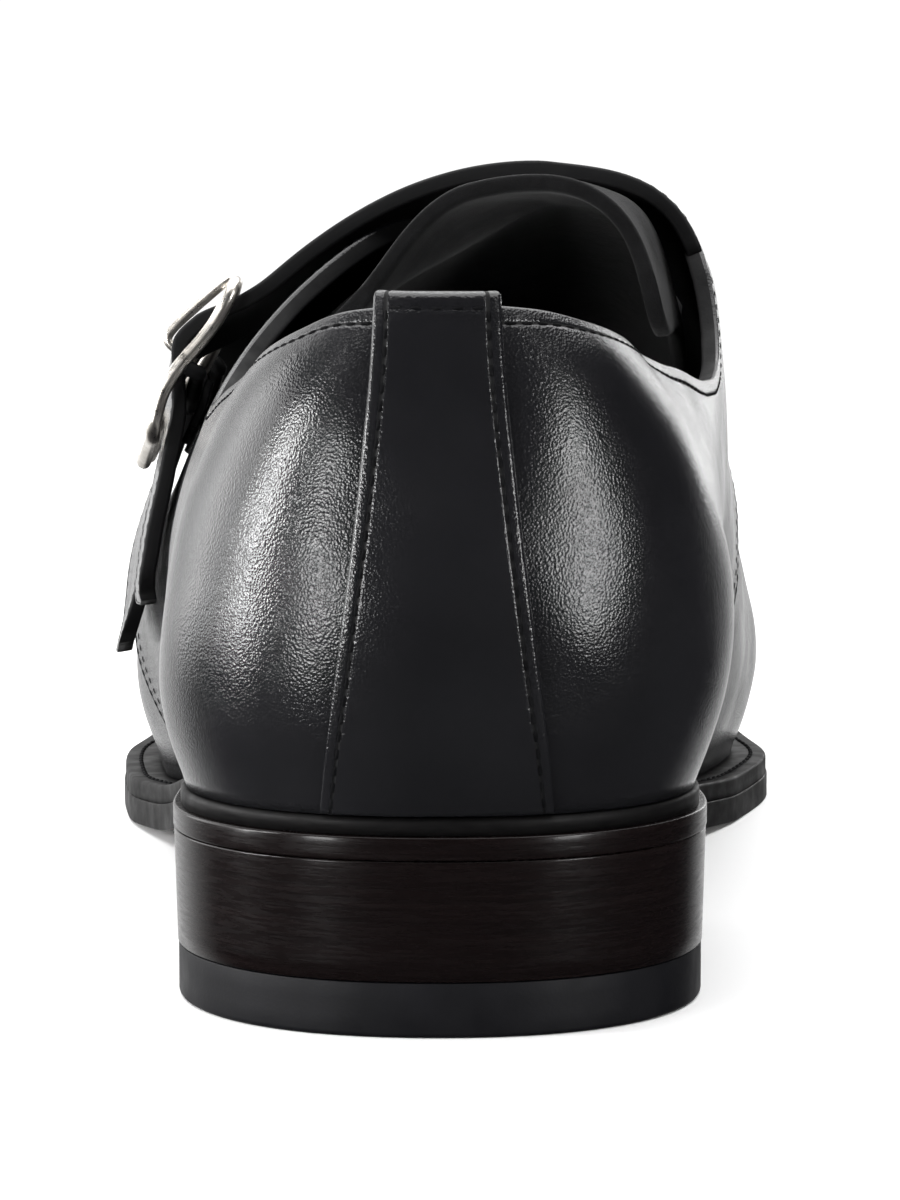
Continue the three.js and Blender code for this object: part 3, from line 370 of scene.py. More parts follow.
def sheet_mesh(outer, inner, keep=None, open_ends=False):
    """Points, faces and slots (0 outer, 1 inner, 2 rims) of a closed sheet between two grids."""
    rows, columns = outer.shape[:2]
    keep = np.ones((rows - 1, columns - 1), bool) if keep is None else keep
    around = np.zeros((rows + 1, columns + 1), bool)
    around[1:-1, 1:-1] = keep
    count = rows * columns
    number = np.arange(count).reshape(rows, columns)
    a, b = number[:-1, :-1], number[:-1, 1:]
    d, c = number[1:, :-1], number[1:, 1:]
    starts, ends = keep & ~around[:-2, 1:-1], keep & ~around[2:, 1:-1]
    if open_ends:
        starts[0] = ends[-1] = False
    rims = ((starts, a, b), (ends, c, d),
            (keep & ~around[1:-1, :-2], d, a), (keep & ~around[1:-1, 2:], b, c))
    blocks = [(0, np.stack([a, b, c, d], -1)[keep])]
    for mask, p, q in rims:
        blocks.append((2, np.stack([p[mask], p[mask] + count, q[mask] + count, q[mask]], -1)))
    blocks.append((1, np.stack([a, d, c, b], -1)[keep] + count))
    slots = np.concatenate([np.full(len(block), slot) for slot, block in blocks])
    points = np.concatenate([outer.reshape(-1, 3), inner.reshape(-1, 3)])
    return points, np.concatenate([block for slot, block in blocks]).tolist(), slots


def merged(*meshes):
    """Points and faces of several meshes as one."""
    points, faces, start = [], [], 0
    for mesh_points, mesh_faces in meshes:
        points.append(mesh_points)
        faces += [[i + start for i in face] for face in mesh_faces]
        start += len(mesh_points)
    return np.concatenate(points), faces


def along_seam(distance, place, half=0.24):
    """Which faces of a grid lie in a seam, from each point's distance to an edge."""
    off = np.abs(distance - place)
    return (off[:-1, :-1] + off[1:, :-1] + off[:-1, 1:] + off[1:, 1:]) / 4 < half


def tube_mesh(rings, closed=False):
    """Points and faces of a tube through rings of equal size."""
    count, size = rings.shape[:2]
    number = np.arange(count * size).reshape(count, size)
    following = np.roll(number, -1, axis=0) if closed else number[1:]
    current = number if closed else number[:-1]
    corners = [current, following, np.roll(following, -1, axis=1), np.roll(current, -1, axis=1)]
    faces = np.stack(corners, -1).reshape(-1, 4).tolist()
    if not closed:
        faces += [number[0].tolist(), number[-1][::-1].tolist()]
    return rings.reshape(-1, 3), faces


def rounded(distance, radius):
    """How far a rounded edge has fallen at a distance in from it, in radii."""
    t = np.clip(np.asarray(distance, float) / radius, 0, 1)
    return 1 - np.sqrt(np.maximum(1 - (1 - t) ** 2, 0))


def groove(distance, place, half, depth):
    t = np.clip(np.abs(np.asarray(distance, float) - place) / half, 0, 1)
    return depth * (0.5 + 0.5 * np.cos(math.pi * t)) * (t < 1)


# Materials
def principled(name, color, roughness, **inputs):
    material = bpy.data.materials.new(name)
    material.use_nodes = True
    shader = material.node_tree.nodes["Principled BSDF"]
    shader.inputs["Base Color"].default_value = (*color, 1)
    shader.inputs["Roughness"].default_value = roughness
    for key, value in inputs.items():
        shader.inputs[key.replace("_", " ")].default_value = value
    return material


class Nodes:
    """Short calls for the nodes of a material or the world."""

    def __init__(self, tree):
        self.tree = tree
        self.place = self.node("ShaderNodeTexCoord").outputs

    def node(self, kind, inputs=(), **settings):
        """A new node; an input is a value, or the output that is linked to it."""
        node = self.tree.nodes.new(kind)
        for key, value in settings.items():
            setattr(node, key, value)
        for key, value in dict(inputs).items():
            if isinstance(value, bpy.types.NodeSocket):
                self.tree.links.new(value, node.inputs[key])
            else:
                node.inputs[key].default_value = value
        return node

    def noise(self, scale, detail=2.0, roughness=0.5, stretch=None):
        place = self.place["Object"]
        if stretch:
            place = self.node("ShaderNodeMapping", {"Scale": stretch, "Vector": place}).outputs["Vector"]
        return self.node("ShaderNodeTexNoise", {"Scale": scale, "Detail": detail, "Roughness": roughness,
                                                "Vector": place}).outputs["Fac"]

    def cells(self, scale, smoothness):
        return self.node("ShaderNodeTexVoronoi", {"Scale": scale, "Smoothness": smoothness,
                                                  "Vector": self.place["Object"]},
                         feature="SMOOTH_F1").outputs["Distance"]

    def ramp(self, source, stops):
        node = self.node("ShaderNodeValToRGB", {"Fac": source})
        elements = node.color_ramp.elements
        while len(elements) < len(stops):
            elements.new(0.5)
        for element, (position, color) in zip(elements, stops):
            element.position = position
            element.color = (*color, 1)
        return node.outputs["Color"]

    def remap(self, source, low, high, from_low=0.0, from_high=1.0):
        return self.node("ShaderNodeMapRange", {
            "Value": source, "From Min": from_low, "From Max": from_high, "To Min": low, "To Max": high,
        }).outputs["Result"]

    def add(self, first, second, amount=1.0):
        """The first plus an amount of the second."""
        return self.node("ShaderNodeMath", {0: second, 1: amount, 2: first},
                         operation="MULTIPLY_ADD").outputs["Value"]

    def bump(self, height, distance, strength, **under):
        return self.node("ShaderNodeBump", {"Height": height, "Distance": distance, "Strength": strength,
                                            **under}).outputs["Normal"]

    def field(self, source):
        """A height or tone over the surface, from the numbers of a noise or from a function."""
        return source(self) if callable(source) else self.noise(*source)


def surface(name, color, roughness, tones=None, gloss=None, relief=None, **inputs):
    """A material; tones is (field, stops), gloss (field, low, high), relief (field, distance, strength).
    """
    material = principled(name, color, roughness, **inputs)
    n = Nodes(material.node_tree)
    shader = n.tree.nodes["Principled BSDF"]
    if relief:
        field, distance, strength = relief
        under = {"Normal": n.bump(n.noise(95, 2), 0.0001, 0.5)} if field is pebbles else {}
        n.tree.links.new(n.bump(n.field(field), distance, strength, **under), shader.inputs["Normal"])
    if gloss:
        field, low, high = gloss
        n.tree.links.new(n.remap(n.field(field), low, high, 0.3, 0.7), shader.inputs["Roughness"])
    if tones:
        field, *stops = tones
        n.tree.links.new(n.ramp(n.field(field), stops), shader.inputs["Base Color"])
    return material


def pebbles(n):
    return n.add(n.cells(3300, 0.5), n.noise(7000, 2), 0.4)


def nap(n):
    return n.add(n.noise(3600, 4, 0.7), n.noise(700, 3, 0.6), 0.8)


LAYERS = (60, 5, 0.62, (0.35, 0.35, 26))
FIBRES = (500, 4, 0.7, (0.5, 0.5, 5))
STREAKS = (420, 4, 0.65, (1, 1, 6))


def layer_tones(n):
    return n.add(n.remap(n.noise(*LAYERS), 0, 0.75), n.noise(*FIBRES), 0.3)


def layer_relief(n):
    return n.add(n.noise(*FIBRES), n.noise(*LAYERS))


calf = surface(
    "calf_leather", (0.008, 0.008, 0.009), 0.25, Specular_IOR_Level=0.45,
    tones=((60, 3), (0.3, (0.0052, 0.0052, 0.006)), (0.7, (0.0078, 0.0078, 0.0088))),
    gloss=((140, 3), 0.17, 0.24), relief=(pebbles, 0.00004, 1.0))
lining = surface(
    "lining_leather", (0.008, 0.008, 0.009), 0.7, Specular_IOR_Level=0.2,
    tones=((120, 3), (0.3, (0.0035, 0.0035, 0.004)), (0.7, (0.0065, 0.006, 0.0065))),
    relief=((1600, 4, 0.6), 0.00006, 0.6))
suede = surface(
    "suede", (0.012, 0.012, 0.013), 0.95, Sheen_Weight=0.1, Sheen_Roughness=0.5, Specular_IOR_Level=0.12,
    tones=((260, 4, 0.65), (0.3, (0.0016, 0.0016, 0.0018)), (0.72, (0.005, 0.005, 0.0054))),
    relief=(nap, 0.00016, 0.8))
# Dark, matte leather of the cut edges and the tab; the faces in the stitch grooves take it too, which is
# painted shade along the seams.
edge_leather_and_seam_shade = surface(
    "edge_leather_and_seam_shade", (0.003, 0.003, 0.0034), 0.65, Specular_IOR_Level=0.2,
    gloss=((300, 3), 0.55, 0.75), relief=((1500, 3, 0.6), 0.00005, 0.7))
sole_edge = surface(
    "sole_edge", (0.010, 0.009, 0.0095), 0.34, Specular_IOR_Level=0.12,
    tones=(STREAKS, (0.3, (0.003, 0.0028, 0.003)), (0.75, (0.0065, 0.006, 0.006))),
    gloss=((260, 3), 0.42, 0.6), relief=(STREAKS, 0.00006, 0.45))
stacked = surface(
    "stacked_leather", (0.03, 0.022, 0.022), 0.26, Specular_IOR_Level=0.12, Coat_Weight=0.2,
    Coat_Roughness=0.14,
    tones=(layer_tones, (0.3, (0.0024, 0.0016, 0.0016)), (0.55, (0.0042, 0.0026, 0.0026)),
           (0.8, (0.0075, 0.0048, 0.0046))),
    gloss=(FIBRES, 0.2, 0.34), relief=(layer_relief, 0.00004, 0.5))
rubber = surface(
    "heel_rubber", (0.010, 0.010, 0.0125), 0.42, Specular_IOR_Level=0.16,
    tones=((150, 4), (0.3, (0.0035, 0.0035, 0.0045)), (0.7, (0.006, 0.006, 0.0075))),
    gloss=((220, 3), 0.45, 0.6), relief=((2200, 3, 0.6), 0.00003, 0.6))
tread = surface(
    "tread_leather", (0.05, 0.035, 0.028), 0.6,
    tones=((55, 5, 0.62), (0.3, (0.03, 0.021, 0.018)), (0.7, (0.066, 0.045, 0.035))),
    relief=((1300, 4, 0.6), 0.00006, 0.6))
thread = surface(
    "thread", (0.007, 0.007, 0.008), 0.75, Specular_IOR_Level=0.06,
    tones=((900, 2), (0.35, (0.002, 0.002, 0.0025)), (0.7, (0.006, 0.006, 0.0065))),
    relief=((6000, 2), 0.00004, 0.8))
metal = surface(
    "buckle_metal", (0.74, 0.70, 0.64), 0.3, Metallic=1.0,
    tones=((420, 4), (0.3, (0.66, 0.62, 0.56)), (0.7, (0.80, 0.765, 0.71))),
    gloss=((700, 4), 0.24, 0.4), relief=((3200, 4, 0.6), 0.000012, 0.5))


def settle(obj, slot_name, *nodes):
    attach(obj, "root")
    if nodes:
        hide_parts(*nodes)
    return obj


# The upper
LATERAL_TOP = (
    (-90, 83), (-68, 82), (-50, 79.8), (-28, 77.6), (0, 75.2), (15, 72.3), (29, 69.4), (38, 69.3),
    (50, 73.6), (60, 80), (68, 87),
)
LATERAL_THROAT = ((75, 0.81), (83, 0.88), (115, 0.92))
MEDIAL_TOP = (
    (-90, 83), (-68, 82.3), (-50, 80.8), (-28, 79.2), (0, 77.3), (15, 74.8), (30, 72.7), (40, 72.2),
    (50, 72.6), (57, 74.2), (62, 77.6), (66.5, 84.5),
)
MEDIAL_THROAT = ((69.5, 0.62), (115, 0.62))
VAMP_SPLIT = 0.78


def topline(rows, throat, side):
    along = np.array([row[0] for row in rows], float)
    z = np.array([row[1] for row in rows], float)
    turns = turn_at(part_at(along, side), z)
    return curve([*along, *(row[0] for row in throat)], [*turns, *(row[1] for row in throat)])


top_lateral = topline(LATERAL_TOP, LATERAL_THROAT, -1)
top_medial = topline(MEDIAL_TOP, MEDIAL_THROAT, 1)


def top_turn(along, side):
    return np.where(side < 0, top_lateral(along), top_medial(along))


def split_turn(along, side):
    """Where the grid's collar columns end: at the collar, or on the vamp in front of the throat."""
    blend = smooth(along, THROAT_ALONG, THROAT_ALONG + 45)
    return mix(top_turn(np.minimum(along, THROAT_ALONG), side), VAMP_SPLIT, blend)


EDGE_TURNS = (0, 0.3, 0.55, 0.8, 1)
edge_lateral = curve(EDGE_TURNS, (143, 160, 166, 160, THROAT_Y))
edge_medial = curve(EDGE_TURNS, (137, 149, 157, 157, THROAT_Y))


def quarter_edge(turn, side):
    return np.where(side < 0, edge_lateral(turn), edge_medial(turn))


def leaning(along, side, turn):
    """Places of the grid, moved so that its line at the throat follows the quarter's edge."""
    weight = np.where(along < THROAT_ALONG, smooth(along, 62, THROAT_ALONG),
                      1 - smooth(along, THROAT_ALONG + 0.3, THROAT_ALONG + 70))
    return along + weight * (quarter_edge(turn, side) - THROAT_Y)


def millimetres_per_turn(along, side, turn):
    high = np.minimum(turn + 2 * TURN_STEP, 1)
    low = np.maximum(turn - 2 * TURN_STEP, 0)
    span = base(along, side, high) - base(along, side, low)
    return np.maximum(np.linalg.norm(span, axis=-1) / (high - low), 10)


COLLAR_DISTANCES = (5.2, 4.2, 3.4, 2.8, 2.45, 2.25, 2.05, 1.85, 1.65, 1.45, 1.2, 1.0, 0.8, 0.6, 0.42,
                    0.27, 0.14, 0.05, 0.0)
COLLAR_STITCH = 2.05
COLLAR_GROOVE = (COLLAR_STITCH, 0.4, 0.13)
COLLAR_RADIUS = 0.5
EDGE_DISTANCES = (3.2, 2.4, 2.0, 1.75, 1.5, 1.25, 1.0, 0.75, 0.55, 0.4, 0.28, 0.17, 0.08, 0.02, 0.0)
EDGE_STITCH = 1.5
EDGE_GROOVE = (EDGE_STITCH, 0.4, 0.12)
EDGE_RADIUS = 0.6
WALL_STEPS = 34
VAMP_STEPS = 26


def upper_stations():
    heel = np.linspace(HEEL_BACK, 0, 73)[:-1]
    waist = np.linspace(0, THROAT_ALONG - 4, 82)
    edge = THROAT_ALONG - np.array(EDGE_DISTANCES)
    after = THROAT_ALONG + np.array([0.02, 0.3, 0.8, 1.5])
    ball = np.linspace(THROAT_ALONG + 3, TOE_START, 44)
    toe = toe_along(np.linspace(0, 90, 47)[1:])
    return np.concatenate([heel, waist, edge, after, ball, toe]), len(heel) + len(waist) + len(edge) - 1


def side_grid(stations, side):
    """Turns of one side's grid from feather edge to ridge, distances to the collar, and wall columns."""
    along = stations[:, None]
    split = split_turn(along, side)
    part = part_at(along, side)
    per_turn = millimetres_per_turn(along, side, split)
    near = np.array(COLLAR_DISTANCES)[None, :]
    start = split - near[:, :1] / per_turn
    share = np.linspace(0, 1, WALL_STEPS)[None, :]
    by_height = turn_at(part, mix(part["foot_z"], profile(part, start)[1], share))
    wall = mix(by_height, start * share, smooth(along, 0, 50))
    wall[:, -1:] = start
    collar = split - near[:, 1:] / per_turn
    vamp = mix(split, 1.0, np.linspace(0, 1, VAMP_STEPS)[None, 1:])
    distance = np.concatenate([0 * wall + near[0, 0], 0 * collar + near[:, 1:], 0 * vamp], 1)
    return np.concatenate([wall, collar, vamp], 1), distance, WALL_STEPS + collar.shape[1]


def soft_dents(points):
    """The slight unevenness of leather over a last, in millimetres."""
    x, y, z = points[..., 0], points[..., 1], points[..., 2]
    return (0.16 * np.sin(x * 0.145 + z * 0.09 + 0.6) * np.sin(y * 0.075 + z * 0.05)
            + 0.09 * np.sin(x * 0.24 - z * 0.21 + y * 0.1)
            + 0.06 * np.sin(z * 0.33 + x * 0.31 + y * 0.17))


def joined(sides):
    """One grid from the lateral and the medial one, which meet at the ridge."""
    return np.concatenate([sides[0], sides[1][:, ::-1][:, 1:]], 1)


def make_upper():
    stations, edge_index = upper_stations()
    along = stations[:, None]
    outer_sides, inner_sides, collar_sides = [], [], []
    for side in (-1, 1):
        turns, distance, wall_columns = side_grid(stations, side)
        rows, columns = turns.shape
        quarter = (np.arange(rows)[:, None] <= edge_index) & (np.arange(columns) < wall_columns)
        to_edge = np.where(quarter, THROAT_ALONG - along, FAR)
        to_collar = np.where(quarter, distance, FAR)
        fold = rounded(to_collar, COLLAR_RADIUS) * COLLAR_RADIUS
        edge_fold = rounded(to_edge, EDGE_RADIUS) * EDGE_RADIUS * (to_collar > 1)
        grooves = groove(to_collar, *COLLAR_GROOVE) + groove(to_edge, *EDGE_GROOVE)
        outer = np.where(quarter, 0.0, -VAMP_DROP) - fold - edge_fold - grooves
        inner = mix(-QUARTER_WALL, -VAMP_DROP - VAMP_WALL, smooth(along, 50, THROAT_ALONG)) + fold * 0.98
        place = leaning(along, side, turns)
        face = base(place, side, turns)
        normal = outward(place, side, turns)
        dents = soft_dents(face) * smooth(turns, 0, 0.15) * smooth(to_collar, 0.5, 6)
        outer = face + normal * (outer + dents)[..., None]
        inner = face + normal * inner[..., None]
        outer[:, 0, 2] = inner[:, 0, 2] = foot_z(face[:, 0, 1]) - FEATHER_DROP
        outer_sides.append(outer)
        inner_sides.append(inner)
        collar_sides.append(to_collar)
    outer, inner = joined(outer_sides), joined(inner_sides)
    keep = np.ones((rows - 1, outer.shape[1] - 1), bool)
    keep[:edge_index, wall_columns - 1:outer.shape[1] - wall_columns] = False
    points, faces, slots = sheet_mesh(outer, inner, keep, True)
    # The faces in the collar's stitch groove take the darker, matte edge material: painted shade along
    # the seam.
    slots[:keep.sum()][along_seam(joined(collar_sides), COLLAR_STITCH)[keep]] = 2
    obj = new_object("upper_leather", points, faces, [calf, lining, edge_leather_and_seam_shade], slots)
    settle(obj, "calf_leather", "upper")


# Stitches
stitches = []


def add_stitches(line, normals, pitch=STITCH_PITCH, length=STITCH_LENGTH, radius=STITCH_RADIUS):
    """Lays separate stitches along a line of points, each lying in its seam."""
    steps = np.linalg.norm(np.diff(line, axis=0), axis=1)
    place = np.concatenate([[0], np.cumsum(steps)])
    count = int(place[-1] // pitch)
    t = np.linspace(-1, 1, STITCH_RINGS)
    swell = np.maximum(np.maximum(1 - np.abs(t) ** 3.2, 0) ** 0.5, 0.12) * radius
    angle = 2 * math.pi * np.arange(STITCH_SIDES) / STITCH_SIDES

    def at(where, rows):
        return np.array([np.interp(where, place, rows[:, c]) for c in range(3)])

    for k in range(count):
        centre = (k + 0.5) * place[-1] / count
        forward = unit(at(centre + length / 2, line) - at(centre - length / 2, line))
        up = unit(at(centre, normals))
        sideways = unit(np.cross(forward, up))
        spine = at(centre, line) + np.outer(t * length / 2, forward) - np.outer(STITCH_SINK * t ** 4, up)
        ring = np.outer(np.cos(angle) * STITCH_BREADTH, sideways) + np.outer(np.sin(angle), up)
        stitches.append(tube_mesh(spine[:, None] + ring * swell[:, None, None]))


def stitch_seam(along, girth, level):
    add_stitches(skin(along, girth, level), skin_normal(along, girth))


def upper_stitches():
    for side, end, top_edge in ((-1, 108, 0.9), (1, 68, 0.61)):
        along = np.concatenate([np.linspace(-76, 0, 60), np.linspace(0.5, end, 160)])
        top = top_turn(along, side)
        turn = top - COLLAR_STITCH / millimetres_per_turn(along, side, top)
        stitch_seam(leaning(along, side, turn), side * (1 - turn), COLLAR_STITCH_LEVEL)
        turns = np.linspace(0.02, top_edge, 200)
        girth = side * (1 - turns)
        for back in (EDGE_STITCH, EDGE_STITCH + EDGE_ROWS_APART):
            along = quarter_edge(turns, side) - HEEL_PIVOT_Y - back
            dents = soft_dents(skin(along, girth, 0.0)) * smooth(turns, 0, 0.15)
            stitch_seam(along, girth, dents + STITCH_LEVEL)


# Heel strip
backstay_half = curve((25, 45, 62, 76, 86), (13.9, 11, 8.8, 7.4, 6.9))
BACKSTAY_EDGE = 0.75
BACKSTAY_DENTS = 0.9
BACKSTAY_STITCH = 1.75
BACKSTAY_TOP_STITCH = 2.3
BACKSTAY_GROOVE = (0.42, 0.13)
BACKSTAY_INSIDE_Z = 74.0
BACKSTAY_BEND = 1.2
BACKSTAY_FOOT = 0.2
BACKSTAY_DISTANCES = (0, 0.04, 0.12, 0.24, 0.4, 0.58, 0.78, 1.0, 1.2, 1.4, 1.55, 1.7, 1.85, 2.0, 2.15,
                      2.35, 2.8)


def backstay_place(z, across_mm):
    """The heel strip's place at a height, and a distance sideways from its middle."""
    side = np.where(across_mm < 0, -1.0, 1.0)
    turn = turn_at(section(np.full_like(z, HEEL_PIVOT_Y), side), z)
    angle = np.degrees(np.arctan2(np.abs(across_mm), HEEL_PIVOT_Y - back_curve(z) - 1))
    return np.maximum(angle + HEEL_BACK, HEEL_BACK), side * (1 - turn)


def make_backstay():
    low_z = float(foot_z(0.0)) - BACKSTAY_FOOT
    rise = np.concatenate([np.linspace(low_z, BACKSTAY_TOP - 6, 90),
                           np.linspace(BACKSTAY_TOP - 5.6, BACKSTAY_TOP - 1.4, 12)])
    half_fold = (BACKSTAY_LEVEL + QUARTER_WALL + 0.5) / 2
    bend = np.linspace(0, math.pi, 15)
    fold = BACKSTAY_LEVEL - half_fold + half_fold * np.cos(bend)
    inside = np.linspace(BACKSTAY_TOP - 1.8, BACKSTAY_INSIDE_Z, 10)
    z = np.concatenate([rise, BACKSTAY_TOP - BACKSTAY_BEND * (1 - np.sin(bend)), inside])[:, None]
    path = np.concatenate([0 * rise + BACKSTAY_LEVEL, fold, 0 * inside + fold[-1]])[:, None]
    half = backstay_half(np.minimum(z, 86))
    edges = np.array(BACKSTAY_DISTANCES)
    across = np.concatenate([half - edges, (half - edges[-1]) * (1 - np.linspace(0, 1, 14)[1:])], 1)
    across = np.concatenate([-across, across[:, ::-1][:, 1:]], 1)
    z = np.broadcast_to(z, across.shape)
    along, girth = backstay_place(z, across)
    to_edge = half - np.abs(across)
    to_top = np.where(np.arange(len(z))[:, None] < len(rise), BACKSTAY_TOP - z, FAR)
    drop = (rounded(to_edge, BACKSTAY_EDGE) * (BACKSTAY_LEVEL - 0.05) * 0.98
            + groove(to_edge, BACKSTAY_STITCH, *BACKSTAY_GROOVE)
            + groove(to_top, BACKSTAY_TOP_STITCH, *BACKSTAY_GROOVE) * (to_edge > 2.2))
    outside = path > -0.6
    level = np.where(outside, path - drop, path)
    outer = skin(along, girth, level + soft_dents(skin(along, girth, 0.0)) * BACKSTAY_DENTS)
    inner = skin(along, girth, np.where(outside, np.minimum(level, -0.12), level + 0.35))
    points, faces, slots = sheet_mesh(outer, inner)
    slots[:] = 0
    # The faces in the strip's stitch grooves take the darker, matte edge material: painted shade along
    # the seams.
    slots[:(len(z) - 1) * (z.shape[1] - 1)][along_seam(to_edge, BACKSTAY_STITCH).ravel()] = 2
    obj = new_object("heel_strip", points, faces, [calf, lining, edge_leather_and_seam_shade], slots)
    settle(obj, "calf_leather", "backstay")
    top = BACKSTAY_TOP - BACKSTAY_TOP_STITCH
    seam_z = np.linspace(low_z + 0.8, top, 120)
    reach = backstay_half(seam_z) - BACKSTAY_STITCH
    for z, across in ((seam_z, -reach), (seam_z, reach),
                      (np.full(40, top), np.linspace(-reach[-1], reach[-1], 40))):
        along, girth = backstay_place(z, across)
        dents = soft_dents(skin(along, girth, 0.0)) * BACKSTAY_DENTS
        stitch_seam(along, girth, BACKSTAY_LEVEL + STITCH_LEVEL + dents)


# Tongue
TONGUE = (
    (90.5, -0.26, 0.36, -0.03, 0, -6.0), (93, -0.35, 0.46, -0.02, -0.4, -6.3),
    (97, -0.39, 0.49, 0.02, -0.9, -6.3), (104, -0.41, 0.5, 0.1, -1.9, -6.1),
    (115, -0.42, 0.5, 0.12, -2.2, -5.2), (135, -0.42, 0.48, 0.12, -2.6, -4.4),
    (146, -0.38, 0.44, 0.12, -3.7, -4.0), (168, -0.26, 0.3, 0.12, -3.8, -3.8),
)
TONGUE_EDGE = 0.7
MILLIMETRES_PER_GIRTH = 64
tongue_of = table(("y", "lateral", "medial", "crest", "ridge", "side"), TONGUE)


def tongue_level(y, girth):
    aside = girth - tongue_of["crest"](y)
    spread = np.where(aside < 0, 0.26, mix(0.48, 0.32, smooth(y, 90.5, 102)))
    return mix(tongue_of["ridge"](y), tongue_of["side"](y), smooth(np.abs(aside), 0.05, spread))


def make_tongue():
    rows, columns = 90, 150
    start, end = TONGUE[0][0], TONGUE[-1][0]
    near = np.array([0, 0.05, 0.15, 0.3, 0.5, 0.75, 1.05, 1.4])
    y = np.concatenate([start + near, np.linspace(start + 2, end, rows)])[:, None]
    share = np.sin(np.linspace(-math.pi / 2, math.pi / 2, columns))[None, :]
    share = mix(share, np.linspace(-1, 1, columns)[None, :], 0.35)
    reach = np.where(share < 0, -tongue_of["lateral"](y), tongue_of["medial"](y))
    girth = share * reach
    level = tongue_level(y, girth)
    to_edge = np.minimum((1 - np.abs(share)) * reach * MILLIMETRES_PER_GIRTH, y - start)
    fall = rounded(to_edge, TONGUE_EDGE) * TONGUE_EDGE
    along = y - HEEL_PIVOT_Y
    outer = skin(along, girth, level - fall)
    inner = skin(along, girth, level - TONGUE_THICKNESS + fall)
    points, faces, _ = sheet_mesh(outer, inner)
    settle(new_object("tongue_suede", points, faces, [suede]), "suede_leather", "tongue")


# Straps
STRAP_COLUMNS = ("girth", "lift", "rear", "front")
STRAP_ROOT = 0.388
STRAP_REAR = (
    (STRAP_ROOT, -2.3, 104, 127.5), (0.2, -1.6, 106, 127.5), (0, -0.5, 107, 127.5),
    (-0.1, 0.35, 107.3, 127.3), (-0.16, 0.8, 107.5, 127.2), (-0.28, 1.4, 108, 126.6),
    (-0.345, 1.9, 108, 126.2), (-0.385, 3.2, 108, 126), (-0.43, 6.2, 108, 126),
    (-0.458, 6.9, 108, 126), (-0.49, 5.0, 108, 126), (-0.53, 2.4, 108, 126),
    (-0.57, 1.4, 108, 126), (-0.62, 0.8, 108, 126), (-0.68, 1.1, 108.2, 126),
    (-0.715, 1.7, 108.8, 125.4), (-0.735, 1.8, 110.8, 123.6), (-0.745, 1.5, 114.5, 120),
)
STRAP_FRONT = (
    (STRAP_ROOT, -2.3, 130, 156.4), (0.2, -0.8, 131.5, 155.5), (0, 0.3, 132, 154.5),
    (-0.16, 1.0, 132.5, 154), (-0.26, 1.9, 132.5, 153.5), (-0.31, 2.9, 132.5, 153.2),
    (-0.355, 5.2, 132.5, 153), (-0.385, 5.9, 132.5, 153), (-0.42, 4.4, 132.5, 153),
    (-0.46, 2.3, 132.5, 153), (-0.5, 1.2, 132.2, 152.6), (-0.56, 0.6, 131.5, 152),
    (-0.65, 0.5, 130.5, 151), (-0.69, 0.8, 130, 150.4), (-0.725, 1.8, 130.2, 149.8),
    (-0.755, 3.0, 132.2, 148), (-0.765, 3.4, 136, 144.5),
)
STRAP_EDGE = 0.55
STRAP_STITCH = 1.8
STRAP_STITCH_LEVEL = -0.12
STRAP_GROOVE = (STRAP_STITCH, 0.4, 0.12)
STRAP_DISTANCES = (0.0, 0.03, 0.08, 0.16, 0.27, 0.4, 0.55, 0.8, 1.1, 1.35, 1.5, 1.65, 1.8, 1.95, 2.1,
                   2.25, 2.5, 3.4)
STRAP_RIM_COLUMNS = 5


def twist(girth, across):
    """How much of its lift a strap has across its width: past the instep it is twisted."""
    return 1 - STRAP_TWIST * across * smooth(-np.asarray(girth, float), 0.16, 0.3)


def make_strap(name, rows):
    of = table(STRAP_COLUMNS, rows, np.linspace(0, 1, len(rows)))
    tip = 0.9 + 0.1 * np.sin(np.linspace(0, math.pi / 2, 40))[1:]
    share = np.concatenate([np.linspace(0, 0.9, 150), tip])[:, None]
    rear = of["rear"](share)
    width = of["front"](share) - rear
    near = np.array(STRAP_DISTANCES) * np.minimum(1.0, width / 8.0)
    between = mix(near[:, -1:], width - near[:, -1:], np.linspace(0, 1, 9)[None, 1:-1])
    across = np.concatenate([near, between, width - near[:, ::-1]], 1)
    to_edge = np.minimum(across, width - across)
    along = rear + across - HEEL_PIVOT_Y
    girth = of["girth"](share)
    lift = of["lift"](share) * twist(girth, across / width)
    fall = rounded(to_edge, STRAP_EDGE) * STRAP_EDGE
    outer = skin(along, girth, lift + STRAP_THICKNESS - fall - groove(to_edge, *STRAP_GROOVE))
    inner = skin(along, girth, lift + fall)
    points, faces, slots = sheet_mesh(outer, inner)
    columns = outer.shape[1] - 1
    column = np.arange((outer.shape[0] - 1) * columns) % columns
    rim = np.minimum(column, columns - 1 - column) < STRAP_RIM_COLUMNS
    # The rounded edge columns are the strap's real cut edges; the faces in the stitch grooves take the
    # same darker material as painted shade along the seams.
    slots[:len(rim)][rim | along_seam(to_edge, STRAP_STITCH).ravel()] = 2
    obj = new_object("strap_%s_leather" % name, points, faces, [calf, lining, edge_leather_and_seam_shade], slots)
    settle(obj, "calf_leather", "strap_" + name)
    share = np.linspace(0.015, 0.955, 400)
    rear, front, girth = of["rear"](share), of["front"](share), of["girth"](share)
    for y in (rear + STRAP_STITCH, front - STRAP_STITCH):
        lift = of["lift"](share) * twist(girth, (y - rear) / (front - rear))
        stitch_seam(y - HEEL_PIVOT_Y, girth, lift + STRAP_THICKNESS + STRAP_STITCH_LEVEL)


